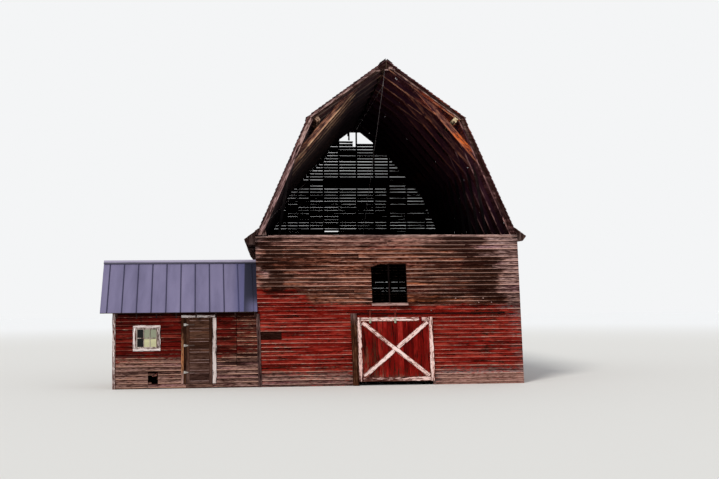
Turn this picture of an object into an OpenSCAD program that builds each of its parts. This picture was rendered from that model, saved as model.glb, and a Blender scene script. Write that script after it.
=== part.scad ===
// Weathered gambrel barn with an open front gable, a sliding door and a small metal-roofed shed.
// Millimetres, +Z up, +X to the right along the front, +Y from the front to the rear.
// Inside the file x = 0 is the roof's centre line, y = 0 the face of the front siding, z = 0 the ground.

/* [Barn body] */
// Width over the siding
barn_w = 8534; // [7600:1:9400]
// Length from the front siding to the rear siding
barn_l = 12192; // [9000:1:15000]
// Height of the walls up to the roof's foot
wall_h = 4830; // [4500:1:5200]
// Lean of the walls towards the shed, in degrees
rack_deg = 1.8; // [0:0.1:2.5]
// Thickness of the siding boards
siding_t = 20; // [15:1:25]
// Depth of the wall studs
stud_d = 140; // [90:1:180]
// Thickness of the wall studs
stud_t = 45; // [38:1:60]
// Spacing of the wall studs
stud_pitch = 610; // [400:1:800]
// Height of the sill timber under each wall
sill_h = 140; // [90:1:180]
// Height of the top plate on each wall
plate_h = 90; // [60:1:120]
// Thickness of the flat timber that caps the front wall
cap_t = 55; // [40:1:80]
// How far the cap stands out in front of the siding
cap_nose = 18; // [5:1:40]

/* [Gambrel roof] */
// Height of the ridge above the ground
apex_z = 10560; // [10200:1:10900]
// Distance of the roof's kink from the centre line
kink_x = 2560; // [2300:1:2800]
// Height of the roof's kink above the ground
kink_z = 8690; // [8400:1:8900]
// Distance of the roof's foot in from the wall's face
foot_setback = 20; // [0:1:60]
// Thickness of the roof boards and shingles
roof_t = 50; // [40:1:70]
// Overhang of the roof past the front and the rear wall
gable_over = 150; // [80:1:300]
// Depth of the rafters
rafter_d = 150; // [120:1:190]
// Thickness of the rafters
rafter_t = 50; // [38:1:60]
// Number of rafter frames along the barn
frame_n = 11; // [8:1:14]
// Width of the ridge cap's two boards
ridge_cap_w = 190; // [120:1:240]
// Thickness of the ridge cap's boards
ridge_cap_t = 22; // [15:1:30]
// Depth of the ridge board between the rafters
ridge_board_d = 200; // [160:1:240]
// Thickness of the ridge board
ridge_board_t = 40; // [25:1:60]
// Width of the purlin timber under each kink
purlin_w = 140; // [100:1:180]
// Depth of the purlin timber under each kink
purlin_d = 150; // [120:1:180]
// Distance of the purlin in from the rafters' inner corner at the kink
purlin_in = 60; // [30:1:120]

/* [Braces and struts] */
// Width of the knee braces
brace_w = 185; // [140:1:200]
// Thickness of the knee braces
brace_t = 38; // [25:1:45]
// Slope of the knee braces, in degrees
brace_deg = 49.5; // [46:0.1:53]
// Distance from the centre line at which a knee brace meets the upper rafter
brace_top_x = 1180; // [1000:1:1400]
// Width of the long struts
strut_w = 90; // [80:1:140]
// Thickness of the long struts
strut_t = 38; // [25:1:45]
// Distance of a long strut's foot from the centre line
strut_foot_x = 3900; // [3700:1:3950]
// Distance of a long strut's head from the centre line
strut_head_x = 3150; // [3000:1:3200]
// Height of a long strut's head above the ground
strut_head_z = 7000; // [6600:1:7200]

/* [Eave flares] */
// Height above the walls at which the flare leaves the roof's slope
flare_rise = 240; // [180:1:360]
// Length of the right flare along its slope
flare_right = 490; // [380:1:560]
// Slope of the right flare, in degrees
flare_right_deg = 37; // [28:1:44]
// Length of the sagging left flare along its slope
flare_left = 600; // [480:1:680]
// Slope of the sagging left flare, in degrees
flare_left_deg = 38; // [28:1:46]
// Depth of the flare's sprockets at the tip
flare_t = 200; // [150:1:240]
// Thickness of the flare's deck
flare_deck_t = 45; // [35:1:60]

/* [Gable trim] */
// Width of the barge boards under the roof's edge
barge_w = 150; // [110:1:190]
// Thickness of the barge boards
barge_t = 25; // [20:1:35]
// Height of the board across the front peak
peak_board_h = 150; // [100:1:180]
// Height above the ground of that board's lower edge
peak_board_z = 10130; // [10050:1:10200]
// Height of the gusset at the left rafter's foot
gusset_h = 190; // [140:1:240]
// Width of the gusset at the left rafter's foot
gusset_w = 310; // [240:1:360]

/* [Rear gable] */
// Height at which the solid rear boards end and the spaced boards begin
slat_from_z = 5750; // [5400:1:6200]
// Height at which the spaced boards end below the open peak
slat_top_z = 9620; // [9300:1:9750]
// Spacing of the rear boards
slat_pitch = 132; // [120:1:150]
// Gap between two spaced boards
slat_gap = 38; // [20:1:60]
// Thickness of the rear boards
slat_t = 20; // [15:1:25]
// Depth of the studs behind the rear boards
gable_stud_d = 90; // [60:1:120]
// Places of the studs behind the rear boards, from the centre line
gable_stud_places = [-3700, -3010, -2530, -2030, -1410, -735, 50, 820, 1470, 2250, 3070, 3700];

/* [Loft] */
// Height of the loft floor's top
loft_z = 2450; // [2420:1:2550]
// Thickness of the loft boards
loft_deck_t = 25; // [20:1:40]
// Depth of the loft joists
joist_d = 150; // [130:1:180]
// Thickness of the loft joists
joist_t = 50; // [38:1:60]
// Spacing of the loft joists
joist_pitch = 610; // [500:1:800]
// Width and depth of the girders under the joists
girder_w = 180; // [140:1:220]
// Width of the posts under the girders
post_w = 150; // [120:1:180]
// Number of posts under each girder
post_n = 3; // [2:1:5]
// Distance of the left girder from the centre line
girder_left_x = 1620; // [1500:1:2400]
// Distance of the right girder from the centre line
girder_right_x = 1820; // [1600:1:2400]

/* [Stays] */
// Radius of the stay cables
stay_r = 9; // [6:1:12]
// Height above the ground of the knot that joins the two long stays
stay_knot_z = 9740; // [9600:1:9850]
// Height at which the stay across the left slope leaves the front rafter
slope_stay_z = 5330; // [5100:1:5600]
// Height at which the stay across the left slope meets the rear gable
slope_stay_rear_z = 9350; // [9000:1:9500]

/* [Doorway and sliding door] */
// Distance of the doorway's left jamb from the centre line, measured along the wall
door_left = 1115; // [1000:1:1200]
// Width of the doorway
doorway_w = 2400; // [2200:1:2500]
// Height of the doorway's head above the ground
doorway_h = 2130; // [2000:1:2170]
// Width of the sliding door's leaf
leaf_w = 2452; // [2440:1:2520]
// Height of the sliding door's leaf
leaf_h = 2050; // [1950:1:2060]
// Height of the leaf's lower edge above the ground
leaf_z = 130; // [100:1:180]
// Gap between the siding and the leaf
leaf_gap = 15; // [10:1:25]
// Thickness of the leaf's upright boards
leaf_t = 22; // [18:1:28]
// Thickness of the leaf's frame and cross boards
rail_board_t = 24; // [18:1:28]
// Width of the leaf's frame boards
rail_board_w = 135; // [110:1:160]
// Width of the leaf's cross boards
cross_w = 135; // [110:1:160]
// Width of the post that the closed door meets
door_post_w = 190; // [150:1:220]
// Depth of the post that the closed door meets
door_post_d = 85; // [70:1:110]
// Gap between the post and the closed leaf
door_stop_gap = 7; // [6:1:12]

/* [Door track] */
// Height of the track's upper edge above the ground
track_z = 2310; // [2290:1:2330]
// Depth of the flat track bar
track_d = 40; // [30:1:50]
// Thickness of the flat track bar
track_t = 8; // [6:1:12]
// Length of the track bar
track_l = 4830; // [4700:1:5000]
// Number of brackets that hold the track
bracket_n = 6; // [4:1:8]
// Width of each track bracket
bracket_w = 40; // [30:1:60]
// Radius of the hangers' wheels
wheel_r = 42; // [35:1:48]
// Width of the hangers' wheels
wheel_w = 20; // [18:1:24]
// Radius of the hangers' axles
axle_r = 8; // [6:1:10]
// Width of the hangers' straps
hanger_w = 60; // [50:1:80]
// Thickness of the hangers' straps
hanger_t = 6; // [5:1:8]
// How far the straps reach down over the leaf
hanger_lap = 190; // [150:1:240]
// Distance of the left hanger from the leaf's left edge
hanger_left = 430; // [300:1:600]
// Distance of the right hanger from the leaf's left edge
hanger_right = 1240; // [1100:1:2100]
// Running gap between a wheel and the track
wheel_gap = 0.3; // [0.2:0.1:0.5]

/* [Barn window] */
// Distance of the window's left side from the centre line, measured along the wall
window_left = 580; // [520:1:640]
// Width of the window opening
window_w = 1143; // [1000:1:1200]
// Height of the window's lower edge above the ground
window_z = 2632; // [2600:1:2750]
// Height of the window opening
window_h = 1257; // [1150:1:1350]
// Height of the pale board below the window
window_sill_h = 80; // [60:1:110]
// Thickness of the pale board below the window
window_sill_t = 24; // [18:1:40]

/* [Shed body] */
// Distance of the shed's left wall from the barn's centre line
shed_left = 8715; // [8300:1:9100]
// Depth of the shed from front to rear
shed_d = 2438; // [2200:1:3000]
// Height of the shed's ridge above the ground
shed_ridge_z = 4050; // [3900:1:4100]
// Height of the shed roof's lower edge above the ground
shed_eave_z = 2400; // [2350:1:2450]
// Overhang of the shed roof past the front and the rear wall
shed_over = 200; // [160:1:260]
// Overhang of the shed roof past the left wall
shed_over_left = 385; // [250:1:450]
// Shift of the shed's ridge to the left of its eave
shed_skew = 90; // [0:1:130]
// Depth of the shed's studs and rafters
shed_stud_d = 90; // [70:1:120]
// Thickness of the shed's studs and rafters
shed_stud_t = 45; // [38:1:60]
// Spacing of the shed's studs and rafters
shed_pitch = 600; // [400:1:750]
// Thickness of the shed's roof boards
shed_deck_t = 25; // [20:1:35]
// Thickness of the shed's metal roof sheet
shed_sheet_t = 4; // [3:1:8]
// Spacing of the standing seams
seam_pitch = 457; // [400:1:600]
// Distance of the first standing seam from the sheet's left edge
seam_first = 208; // [150:1:260]
// Height of the standing seams
seam_h = 30; // [20:1:40]
// Width of the standing seams
seam_w = 18; // [12:1:30]
// Width of each side of the shed's ridge cap
shed_cap_w = 150; // [120:1:200]
// Gap between the shed roof and the barn's wall
shed_gap = 4; // [2:1:8]
// Depth of the notch that seats a rafter on the shed's wall
shed_seat = 60; // [40:1:80]

/* [Hole in the shed's siding] */
// Distance of the hole's left side from the barn's centre line
hole_left = 7628; // [7500:1:7900]
// Width of the hole
hole_w = 312; // [150:1:400]
// Height of the hole's lower edge above the ground
hole_z = 153; // [145:1:300]
// Height of the hole
hole_h = 380; // [200:1:500]

/* [Shed door] */
// Distance of the door slab's left edge from the barn's centre line
slab_left = 6433; // [6300:1:6500]
// Width of the door slab
slab_w = 815; // [760:1:860]
// Height of the door slab
slab_h = 2065; // [1980:1:2080]
// Height of the door slab's lower edge above the ground
slab_z = 150; // [120:1:180]
// Thickness of the door slab
slab_t = 35; // [30:1:45]
// Clearance round the door slab
slab_gap = 12; // [8:1:18]
// How far the door slab stands out in front of the siding
slab_proud = 14; // [8:1:20]
// Thickness of the boards that case the door, the window and the corners
trim_t = 20; // [15:1:25]
// Width of the dark board on the hinge side
jamb_w = 150; // [120:1:170]
// Width of the pale board on the latch side
casing_w = 118; // [90:1:130]
// Height of the pale board over the door
header_h = 85; // [70:1:110]
// Height of the hinges above the door slab's lower edge
hinge_heights = [357, 1199, 1855];
// Radius of the hinges' barrels
barrel_r = 9; // [8:1:11]
// Radius of the hinges' pins
pin_r = 4; // [3:0.5:5]
// Running gap between a hinge's pin and its barrel
pin_gap = 0.06; // [0.04:0.01:0.1]
// Length of the hinges' straps on the slab
strap_l = 260; // [180:1:360]
// Height of the hinges' straps
strap_h = 36; // [28:1:50]
// Thickness of the hinges' straps and plates
strap_t = 4; // [3:1:6]

/* [Shed window and corners] */
// Distance of the window's left side from the barn's centre line
shed_window_left = 8005; // [7950:1:8050]
// Width of the shed's window opening
shed_window_w = 672; // [600:1:720]
// Height of the window's lower edge above the ground
shed_window_z = 1280; // [1200:1:1350]
// Height of the shed's window opening
shed_window_h = 628; // [560:1:660]
// Width of the boards round the shed's window
window_casing_w = 92; // [70:1:100]
// Width of the sash's outer bars
sash_w = 38; // [30:1:50]
// Width of the sash's inner bars
muntin_w = 20; // [15:1:28]
// Number of panes side by side
pane_columns = 3; // [2:1:4]
// Depth of the sash
sash_t = 30; // [25:1:40]
// Thickness of the panes
glass_t = 4; // [3:1:6]
// Width of the corner boards
corner_w = 92; // [80:1:110]
// Width of the grey board where the barn and the shed meet
meeting_w = 114; // [100:1:130]
// How far that board reaches over the shed's wall
meeting_lap = 50; // [30:1:60]
// Height of the grey board where the barn and the shed meet
meeting_h = 2330; // [2200:1:2350]

/* [Hidden] */
$fn = 48;

// Hairline joint between two pieces that seat on each other
panel_gap = 0.3;
half_w = barn_w / 2;
wall_t = siding_t + stud_d;
deck_t = roof_t - panel_gap;
rack = tan(rack_deg);
foot_x = half_w - foot_setback;
lower_deg = atan((kink_z - wall_h) / (foot_x - kink_x));
upper_deg = atan((apex_z - kink_z) / kink_x);
inner_d = roof_t + rafter_d;
roof_y0 = -gable_over;
roof_y1 = barn_l + gable_over;

// A point of the leaning walls: it moves to the right as it goes down from the plate
function lean(p) = [p[0] + (wall_h - p[1]) * rack, p[1]];
function lean_x(x, z) = lean([x, z])[0];

// The roof's section, d inside its outer surface; the pieces under the deck start at roof_t
function lower_x(z, d) = foot_x - d / sin(lower_deg) - (z - wall_h) / tan(lower_deg);
function apex_at(d) = apex_z - d / cos(upper_deg);
function upper_z(x, d) = apex_at(d) - x * tan(upper_deg);
function kink_at(d) =
    let (x = (lower_x(0, d) - apex_at(d) / tan(lower_deg)) / (1 - tan(upper_deg) / tan(lower_deg)))
    [x, upper_z(x, d)];
function kink_below(d) = kink_at(d) + panel_gap * turned(-lower_deg);
function section_x(z, d) =
    z > kink_at(d)[1] ? (apex_at(d) - z) / tan(upper_deg) : lower_x(z, d);
function section_z(x, d) =
    abs(x) < kink_at(d)[0] ? upper_z(abs(x), d)
    : wall_h + (foot_x - d / sin(lower_deg) - abs(x)) * tan(lower_deg);

// Where the line through p along u crosses the line through q along v
function cross_at(p, u, q, v) =
    p + u * ((q[0] - p[0]) * v[1] - (q[1] - p[1]) * v[0]) / (u[0] * v[1] - u[1] * v[0]);
function turned(deg) = [cos(deg), sin(deg)];
function side_points(pts, s) = [for (p = pts) [s * p[0], p[1]]];

// A section in the XZ plane, drawn out along Y
module along_y(pts, y0, y1) {
    translate([0, y1, 0])
        rotate([90, 0, 0])
            linear_extrude(y1 - y0)
                polygon(pts);
}

// A section in the YZ plane, drawn out along X
module along_x(pts, x0, x1) {
    translate([x0, 0, 0])
        rotate([90, 0, 90])
            linear_extrude(x1 - x0)
                polygon(pts);
}

module block(x0, x1, y0, y1, z0, z1) {
    translate([x0, y0, z0])
        cube([x1 - x0, y1 - y0, z1 - z0]);
}

// A block whose sides lean with the walls
module leaning_block(x0, x1, y0, y1, z0, z1) {
    along_y([lean([x0, z0]), lean([x1, z0]), lean([x1, z1]), lean([x0, z1])], y0, y1);
}

// Moves the model so that its origin is at the bottom centre of its bounding box
flare_z = wall_h + flare_rise;
flare_x = lower_x(flare_z, -panel_gap);
flare_tip_left = flare_x + flare_left * cos(flare_left_deg);
flare_tip_right = flare_x + flare_right * cos(flare_right_deg);
shed_sheet_left = -shed_left - shed_over_left;
shed_mid_y = shed_d / 2;
shed_deg = atan((shed_ridge_z - shed_eave_z) / (shed_mid_y + shed_over));
model_x0 = min(-flare_tip_left, shed_sheet_left - shed_skew);
model_x1 = flare_tip_right;
model_y0 = -max(gable_over + panel_gap + barge_t, shed_over + seam_h * sin(shed_deg));
model_y1 = roof_y1;

module placed() {
    translate([-(model_x0 + model_x1) / 2, -(model_y0 + model_y1) / 2, 0])
        children();
}

wood_red = [0.45, 0.12, 0.10];
wood_bare = [0.42, 0.30, 0.26];
wood_dark = [0.22, 0.16, 0.14];
wood_pale = [0.80, 0.70, 0.66];
shingle = [0.25, 0.18, 0.16];
steel_dark = [0.20, 0.19, 0.19];
roof_metal = [0.42, 0.40, 0.50];

// Walls of the barn

doorway_left = -door_left;
doorway_right = doorway_left + doorway_w;
window_x0 = -window_left;
window_x1 = window_x0 + window_w;
window_z1 = window_z + window_h;
front_top = wall_h - cap_t;

// A panel of end wall: siding on the outside, and behind it a foot, a head and studs with open bays
module wall_panel(x0, x1, z0, z1, foot, head, bays) {
    step = (x1 - x0 - stud_t) / bays;
    difference() {
        leaning_block(x0, x1, 0, wall_t, z0, z1);
        for (i = [0:bays - 1])
            leaning_block(x0 + i * step + stud_t, x0 + (i + 1) * step, siding_t, 2 * wall_t,
                z0 + foot, z1 - head);
    }
}

module end_wall(x0, x1, top) {
    wall_panel(x0, x1, 0, top, sill_h, plate_h, round((x1 - x0) / stud_pitch));
}

module front_wall_left() {
    color(wood_red)
        placed()
            end_wall(-half_w, doorway_left, front_top);
}

module front_wall_right() {
    color(wood_red)
        placed()
            end_wall(doorway_right, half_w, front_top);
}

// The wall over the doorway: panels beside, below and above the open window, and the stud across it
module front_wall_middle() {
    x0 = window_x0 + panel_gap;
    x1 = window_x1 - panel_gap;
    mid_x0 = (window_x0 + window_x1 - stud_t) / 2;
    color(wood_red)
        placed() {
            wall_panel(doorway_left + panel_gap, window_x0, doorway_h, front_top, sill_h, plate_h, 1);
            wall_panel(window_x1, doorway_right - panel_gap, doorway_h, front_top, sill_h, plate_h, 1);
            wall_panel(x0, x1, doorway_h, window_z, sill_h, stud_t, 2);
            wall_panel(x0, x1, window_z1, front_top, stud_t, plate_h, 2);
            leaning_block(mid_x0, mid_x0 + stud_t, siding_t, wall_t,
                window_z + panel_gap, window_z1 - panel_gap);
        }
}

// A side wall between the end walls; s is -1 on the left and 1 on the right
module side_wall(s) {
    outer = s * half_w;
    inner = s * (half_w - wall_t);
    past = s * (half_w - 2 * wall_t);
    back = s * (half_w - siding_t);
    y0 = wall_t;
    y1 = barn_l - wall_t;
    studs = round((y1 - y0) / stud_pitch);
    step = (y1 - y0 - stud_t) / studs;
    difference() {
        leaning_block(min(outer, inner), max(outer, inner), y0, y1, 0, wall_h);
        for (i = [0:studs - 1])
            leaning_block(min(past, back), max(past, back), y0 + i * step + stud_t,
                y0 + (i + 1) * step, sill_h, wall_h - plate_h);
    }
}

module left_wall() {
    color(wood_red)
        placed()
            side_wall(-1);
}

module right_wall() {
    color(wood_red)
        placed()
            side_wall(1);
}

module rear_wall() {
    color(wood_red)
        placed()
            translate([0, barn_l, 0])
                mirror([0, 1, 0])
                    end_wall(-half_w, half_w, wall_h);
}

// The timber on the front wall, the board under the window and the board at the meeting with the shed
module front_trim() {
    meeting_x = -half_w - meeting_lap;
    color(wood_bare)
        placed() {
            leaning_block(-half_w, half_w, -cap_nose, wall_t, front_top, wall_h);
            leaning_block(window_x0 - siding_t, window_x1 + siding_t, -window_sill_t, 0,
                window_z - window_sill_h, window_z);
            leaning_block(meeting_x, meeting_x + meeting_w, -trim_t, 0, 0, meeting_h);
        }
}

// Rear gable: solid boards, then spaced boards up to the open peak, on upright studs

slat_n = floor((slat_top_z - slat_from_z) / slat_pitch);
closed_rows = [4, 7, 8, 9, 15, 16, 17];

function gable_band(z0, z1) =
    let (k = kink_at(roof_t), straddles = z0 < k[1] && z1 > k[1])
    concat(
        [[-section_x(z0, roof_t), z0], [section_x(z0, roof_t), z0]],
        straddles ? [k] : [],
        [[section_x(z1, roof_t), z1], [-section_x(z1, roof_t), z1]],
        straddles ? [[-k[0], k[1]]] : []);

module rear_gable() {
    stud_y = barn_l - slat_t - gable_stud_d;
    color(wood_dark)
        placed()
            union() {
                along_y(gable_band(wall_h, slat_from_z), barn_l - slat_t, barn_l);
                for (i = [0:slat_n - 1]) {
                    z0 = slat_from_z + i * slat_pitch;
                    closed = len(search(i, closed_rows)) > 0;
                    along_y(gable_band(closed ? z0 : z0 + slat_gap, z0 + slat_pitch),
                        barn_l - slat_t, barn_l);
                }
                for (x = gable_stud_places) {
                    x0 = x - stud_t / 2;
                    x1 = x + stud_t / 2;
                    under_ridge = x0 < ridge_board_t / 2 && x1 > -ridge_board_t / 2;
                    along_y([[x0, wall_h], [x1, wall_h],
                        [x1, under_ridge ? ridge_under : section_z(x1, roof_t)],
                        [x0, under_ridge ? ridge_under : section_z(x0, roof_t)]],
                        stud_y, barn_l - slat_t);
                }
            }
}

// Roof slabs and cap

module roof_lower(s) {
    along_y(side_points([[lower_x(wall_h, 0), wall_h], kink_below(0), kink_below(deck_t),
        [lower_x(wall_h, deck_t), wall_h]], s), roof_y0, roof_y1);
}

module roof_upper(s) {
    along_y(side_points([kink_at(0), [0, apex_at(0)], [0, apex_at(deck_t)], kink_at(deck_t)], s),
        roof_y0, roof_y1);
}

module roof_lower_left() {
    color(shingle)
        placed()
            roof_lower(-1);
}

module roof_lower_right() {
    color(shingle)
        placed()
            roof_lower(1);
}

module roof_upper_left() {
    color(shingle)
        placed()
            roof_upper(-1);
}

module roof_upper_right() {
    color(shingle)
        placed()
            roof_upper(1);
}

module ridge_cap() {
    reach = ridge_cap_w * cos(upper_deg);
    low = -panel_gap;
    high = low - ridge_cap_t;
    color(wood_dark)
        placed()
            along_y([[-reach, upper_z(reach, low)], [0, apex_at(low)], [reach, upper_z(reach, low)],
                [reach, upper_z(reach, high)], [0, apex_at(high)], [-reach, upper_z(reach, high)]],
                roof_y0, roof_y1);
}

// Eave flares: a sloping deck on sprockets that kick the roof's foot outwards

function flare_points(s, length, deg) =
    let (start = [flare_x, flare_z],
        tip = start + length * turned(-deg),
        under = tip + flare_t * turned(-90 - deg),
        wall_x = s * (half_w + panel_gap))
    [[s * start[0], start[1]], [s * tip[0], tip[1]], [s * under[0], under[1]],
        lean([wall_x, under[1] - siding_t]), [wall_x, wall_h], [s * lower_x(wall_h, -panel_gap), wall_h]];

module eave_flare(s, length, deg) {
    pts = flare_points(s, length, deg);
    start = pts[0];
    tip = pts[1];
    inward = flare_deck_t * [s * cos(-90 - deg), sin(-90 - deg)];
    slope = [s * cos(deg), -sin(deg)];
    roof_line = [s * cos(lower_deg), -sin(lower_deg)];
    along_y([start, tip, tip + inward, cross_at(tip + inward, slope, start, roof_line)],
        roof_y0, roof_y1);
    for (i = [0:frame_n - 1])
        along_y(pts, frame_y(i), frame_y(i) + rafter_t);
    for (y = [roof_y0, roof_y1 - barge_t])
        along_y(pts, y, y + barge_t);
}

module eave_flares() {
    color(shingle)
        placed() {
            eave_flare(-1, flare_left, flare_left_deg);
            eave_flare(1, flare_right, flare_right_deg);
        }
}

// Rafter frames

front_frame_y = siding_t;
rear_frame_y = barn_l - slat_t - gable_stud_d - rafter_t;
frame_pitch = (rear_frame_y - front_frame_y) / (frame_n - 1);
function frame_y(i) = front_frame_y + i * frame_pitch;

module lower_rafter(s) {
    along_y(side_points([[lower_x(wall_h, roof_t), wall_h], kink_below(roof_t), kink_below(inner_d),
        [lower_x(wall_h, inner_d), wall_h]], s), 0, rafter_t);
}

module upper_rafter(s) {
    x0 = ridge_board_t / 2;
    along_y(side_points([kink_at(roof_t), [x0, upper_z(x0, roof_t)], [x0, upper_z(x0, inner_d)],
        kink_at(inner_d)], s), 0, rafter_t);
}

module lower_rafters() {
    color(wood_bare)
        placed()
            for (i = [0:frame_n - 1], s = [-1, 1])
                translate([0, frame_y(i), 0])
                    lower_rafter(s);
}

module upper_rafters() {
    color(wood_bare)
        placed()
            for (i = [0:frame_n - 1], s = [-1, 1])
                translate([0, frame_y(i), 0])
                    upper_rafter(s);
}

// A knee brace nailed to the rear side of both rafters, its ends cut to the roof boards
module knee_brace(s) {
    along = turned(-brace_deg);
    top = [brace_top_x, upper_z(brace_top_x, inner_d)];
    low_edge = top + brace_w / 2 * turned(-90 - brace_deg);
    high_edge = top + brace_w / 2 * turned(90 - brace_deg);
    head = [[0, apex_at(roof_t)], turned(-upper_deg)];
    heel = [kink_at(roof_t), turned(-lower_deg)];
    along_y(side_points([cross_at(low_edge, along, head[0], head[1]),
        cross_at(high_edge, along, head[0], head[1]), cross_at(high_edge, along, heel[0], heel[1]),
        cross_at(low_edge, along, heel[0], heel[1])], s), 0, brace_t);
}

module knee_braces() {
    color(wood_bare)
        placed()
            for (i = [0:frame_n - 2], s = [-1, 1])
                translate([0, frame_y(i) + rafter_t, 0])
                    knee_brace(s);
}

// A long strut from the loft floor to the lower rafter, nailed to the rafter's front side
strut_clear = 60;

module loft_strut(s) {
    foot = [strut_foot_x, loft_z];
    head = [strut_head_x, strut_head_z];
    along = (head - foot) / norm(head - foot);
    across = strut_w / 2 * [along[1], -along[0]];
    slope = turned(-lower_deg);
    under_deck = kink_at(roof_t + strut_clear);
    level = [1, 0];
    along_y(side_points([cross_at(foot - across, along, foot, level),
        cross_at(foot + across, along, foot, level),
        cross_at(foot + across, along, under_deck, slope),
        cross_at(foot - across, along, under_deck, slope)], s), 0, strut_t);
}

module loft_struts() {
    color(wood_bare)
        placed()
            for (i = [1:frame_n - 2], s = [-1, 1])
                translate([0, frame_y(i) - strut_t, 0])
                    loft_strut(s);
}

// The timbers that run the barn's length: one under each kink and the ridge board
module kink_purlin(s) {
    corner = kink_at(inner_d + panel_gap) + purlin_in * turned(180 - upper_deg);
    along = turned(180 - upper_deg);
    down = turned(-90 - upper_deg);
    along_y(side_points([corner, corner + purlin_w * along, corner + purlin_w * along + purlin_d * down,
        corner + purlin_d * down], s), roof_y0, rear_frame_y + rafter_t);
}

ridge_top = upper_z(ridge_board_t / 2, roof_t);
ridge_under = ridge_top - ridge_board_d;

module roof_purlins() {
    color(wood_bare)
        placed() {
            kink_purlin(-1);
            kink_purlin(1);
            block(-ridge_board_t / 2, ridge_board_t / 2, roof_y0, roof_y1, ridge_under, ridge_top);
        }
}

// Barge boards under the roof's front and rear edges, mitred at the kink
module barge_pair(s) {
    x0 = ridge_board_t / 2;
    depth = roof_t + barge_w;
    along_y(side_points([[lower_x(wall_h, roof_t), wall_h], kink_below(roof_t), kink_below(depth),
        [lower_x(wall_h, depth), wall_h]], s), 0, barge_t);
    along_y(side_points([kink_at(roof_t), [x0, upper_z(x0, roof_t)], [x0, upper_z(x0, depth)],
        kink_at(depth)], s), 0, barge_t);
}

// The barge boards, the board across the front peak and the gusset at the left rafter's foot

module gable_trim() {
    peak_top = peak_board_z + peak_board_h;
    peak_y = roof_y0 - panel_gap;
    gusset_x = lower_x(wall_h, roof_t);
    color(wood_pale)
        placed() {
            for (y = [roof_y0, roof_y1 - barge_t], s = [-1, 1])
                translate([0, y, 0])
                    barge_pair(s);
            along_y([[-section_x(peak_board_z, roof_t), peak_board_z],
                [section_x(peak_board_z, roof_t), peak_board_z],
                [section_x(peak_top, roof_t), peak_top], [-section_x(peak_top, roof_t), peak_top]],
                peak_y - barge_t, peak_y);
            along_y([[-gusset_x, wall_h], [gusset_w - gusset_x, wall_h],
                [-lower_x(wall_h + gusset_h, inner_d), wall_h + gusset_h],
                [-lower_x(wall_h + gusset_h, roof_t), wall_h + gusset_h]], 0, siding_t);
        }
}

// Loft floor, girders and posts

module loft_floor() {
    edge = half_w - wall_t - panel_gap;
    y0 = wall_t;
    y1 = barn_l - wall_t;
    joists = round((y1 - y0) / joist_pitch);
    step = (y1 - y0 - joist_t) / joists;
    under = loft_z - loft_deck_t;
    color(wood_dark)
        placed()
            union() {
                leaning_block(-edge, edge, y0, y1, under, loft_z);
                for (i = [0:joists])
                    leaning_block(-edge, edge, y0 + i * step, y0 + i * step + joist_t,
                        under - joist_d, under);
            }
}

joist_z = loft_z - loft_deck_t - joist_d;

module loft_girders() {
    color(wood_dark)
        placed()
            for (x = [-girder_left_x, girder_right_x])
                leaning_block(x - girder_w / 2, x + girder_w / 2, wall_t, barn_l - wall_t,
                    joist_z - girder_w, joist_z);
}

module loft_posts() {
    span = barn_l - 2 * wall_t;
    color(wood_dark)
        placed()
            for (x = [-girder_left_x, girder_right_x], i = [1:post_n]) {
                y = wall_t + i * span / (post_n + 1);
                leaning_block(x - post_w / 2, x + post_w / 2, y - post_w / 2, y + post_w / 2,
                    0, joist_z - girder_w);
            }
}

// Stays: two cables from a knot under the ridge to the rear, and one across the left slope
stay_knot = [-80, 150, stay_knot_z];
stay_knot_r = 2 * stay_r;
stay_floor_end = [-160, barn_l - 2 * wall_t, loft_z];
slope_stud_x = gable_stud_places[5];
ridge_stud_x = gable_stud_places[6];

module stay(from, to) {
    run = to - from;
    translate(from)
        rotate([0, acos(run[2] / norm(run)), atan2(run[1], run[0])])
            cylinder(r = stay_r, h = norm(run));
}

module stay_cables() {
    y0 = front_frame_y + rafter_t;
    y1 = barn_l - slat_t - gable_stud_d;
    past = [0, stay_r, 0];
    rafter_x = -lower_x(slope_stay_z, inner_d - stay_knot_r);
    color(steel_dark)
        placed()
            intersection() {
                union() {
                    translate(stay_knot)
                        sphere(r = stay_knot_r);
                    stay(stay_knot, [0, stay_knot[1], ridge_top]);
                    stay(stay_knot, [ridge_stud_x, y1, ridge_under - 2 * stay_knot_r] + past);
                    stay(stay_knot, stay_floor_end + past);
                    stay([rafter_x, y0, slope_stay_z] - past,
                        [slope_stud_x, y1, slope_stay_rear_z] + past);
                }
                block(-half_w, half_w, y0, y1, loft_z, ridge_under);
            }
}

// Door post, track and sliding door

module door_post() {
    color(wood_dark)
        placed()
            leaning_block(doorway_left - door_post_w, doorway_left, -door_post_d, 0, 0, track_z);
}

leaf_x0 = doorway_left + door_stop_gap;
leaf_x1 = leaf_x0 + leaf_w;
leaf_top = leaf_z + leaf_h;
leaf_back = -leaf_gap;
leaf_front = leaf_back - leaf_t;
frame_front = leaf_front - rail_board_t;
track_front = frame_front + (wheel_w - track_t) / 2;
hanger_front = frame_front - hanger_t;
track_x0 = lean_x(leaf_x0, track_z);

module door_track() {
    step = (track_l - bracket_w) / (bracket_n - 1);
    low = track_z - track_d;
    bracket_top = track_z - track_d / 4;
    color(steel_dark)
        placed()
            union() {
                block(track_x0, track_x0 + track_l, track_front, track_front + track_t, low, track_z);
                for (i = [0:bracket_n - 1])
                    block(track_x0 + i * step, track_x0 + i * step + bracket_w,
                        track_front + track_t, 0, low, bracket_top);
            }
}

module door_leaf() {
    color(wood_red)
        placed()
            leaning_block(leaf_x0, leaf_x1, leaf_front, leaf_back, leaf_z, leaf_top);
}

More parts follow.
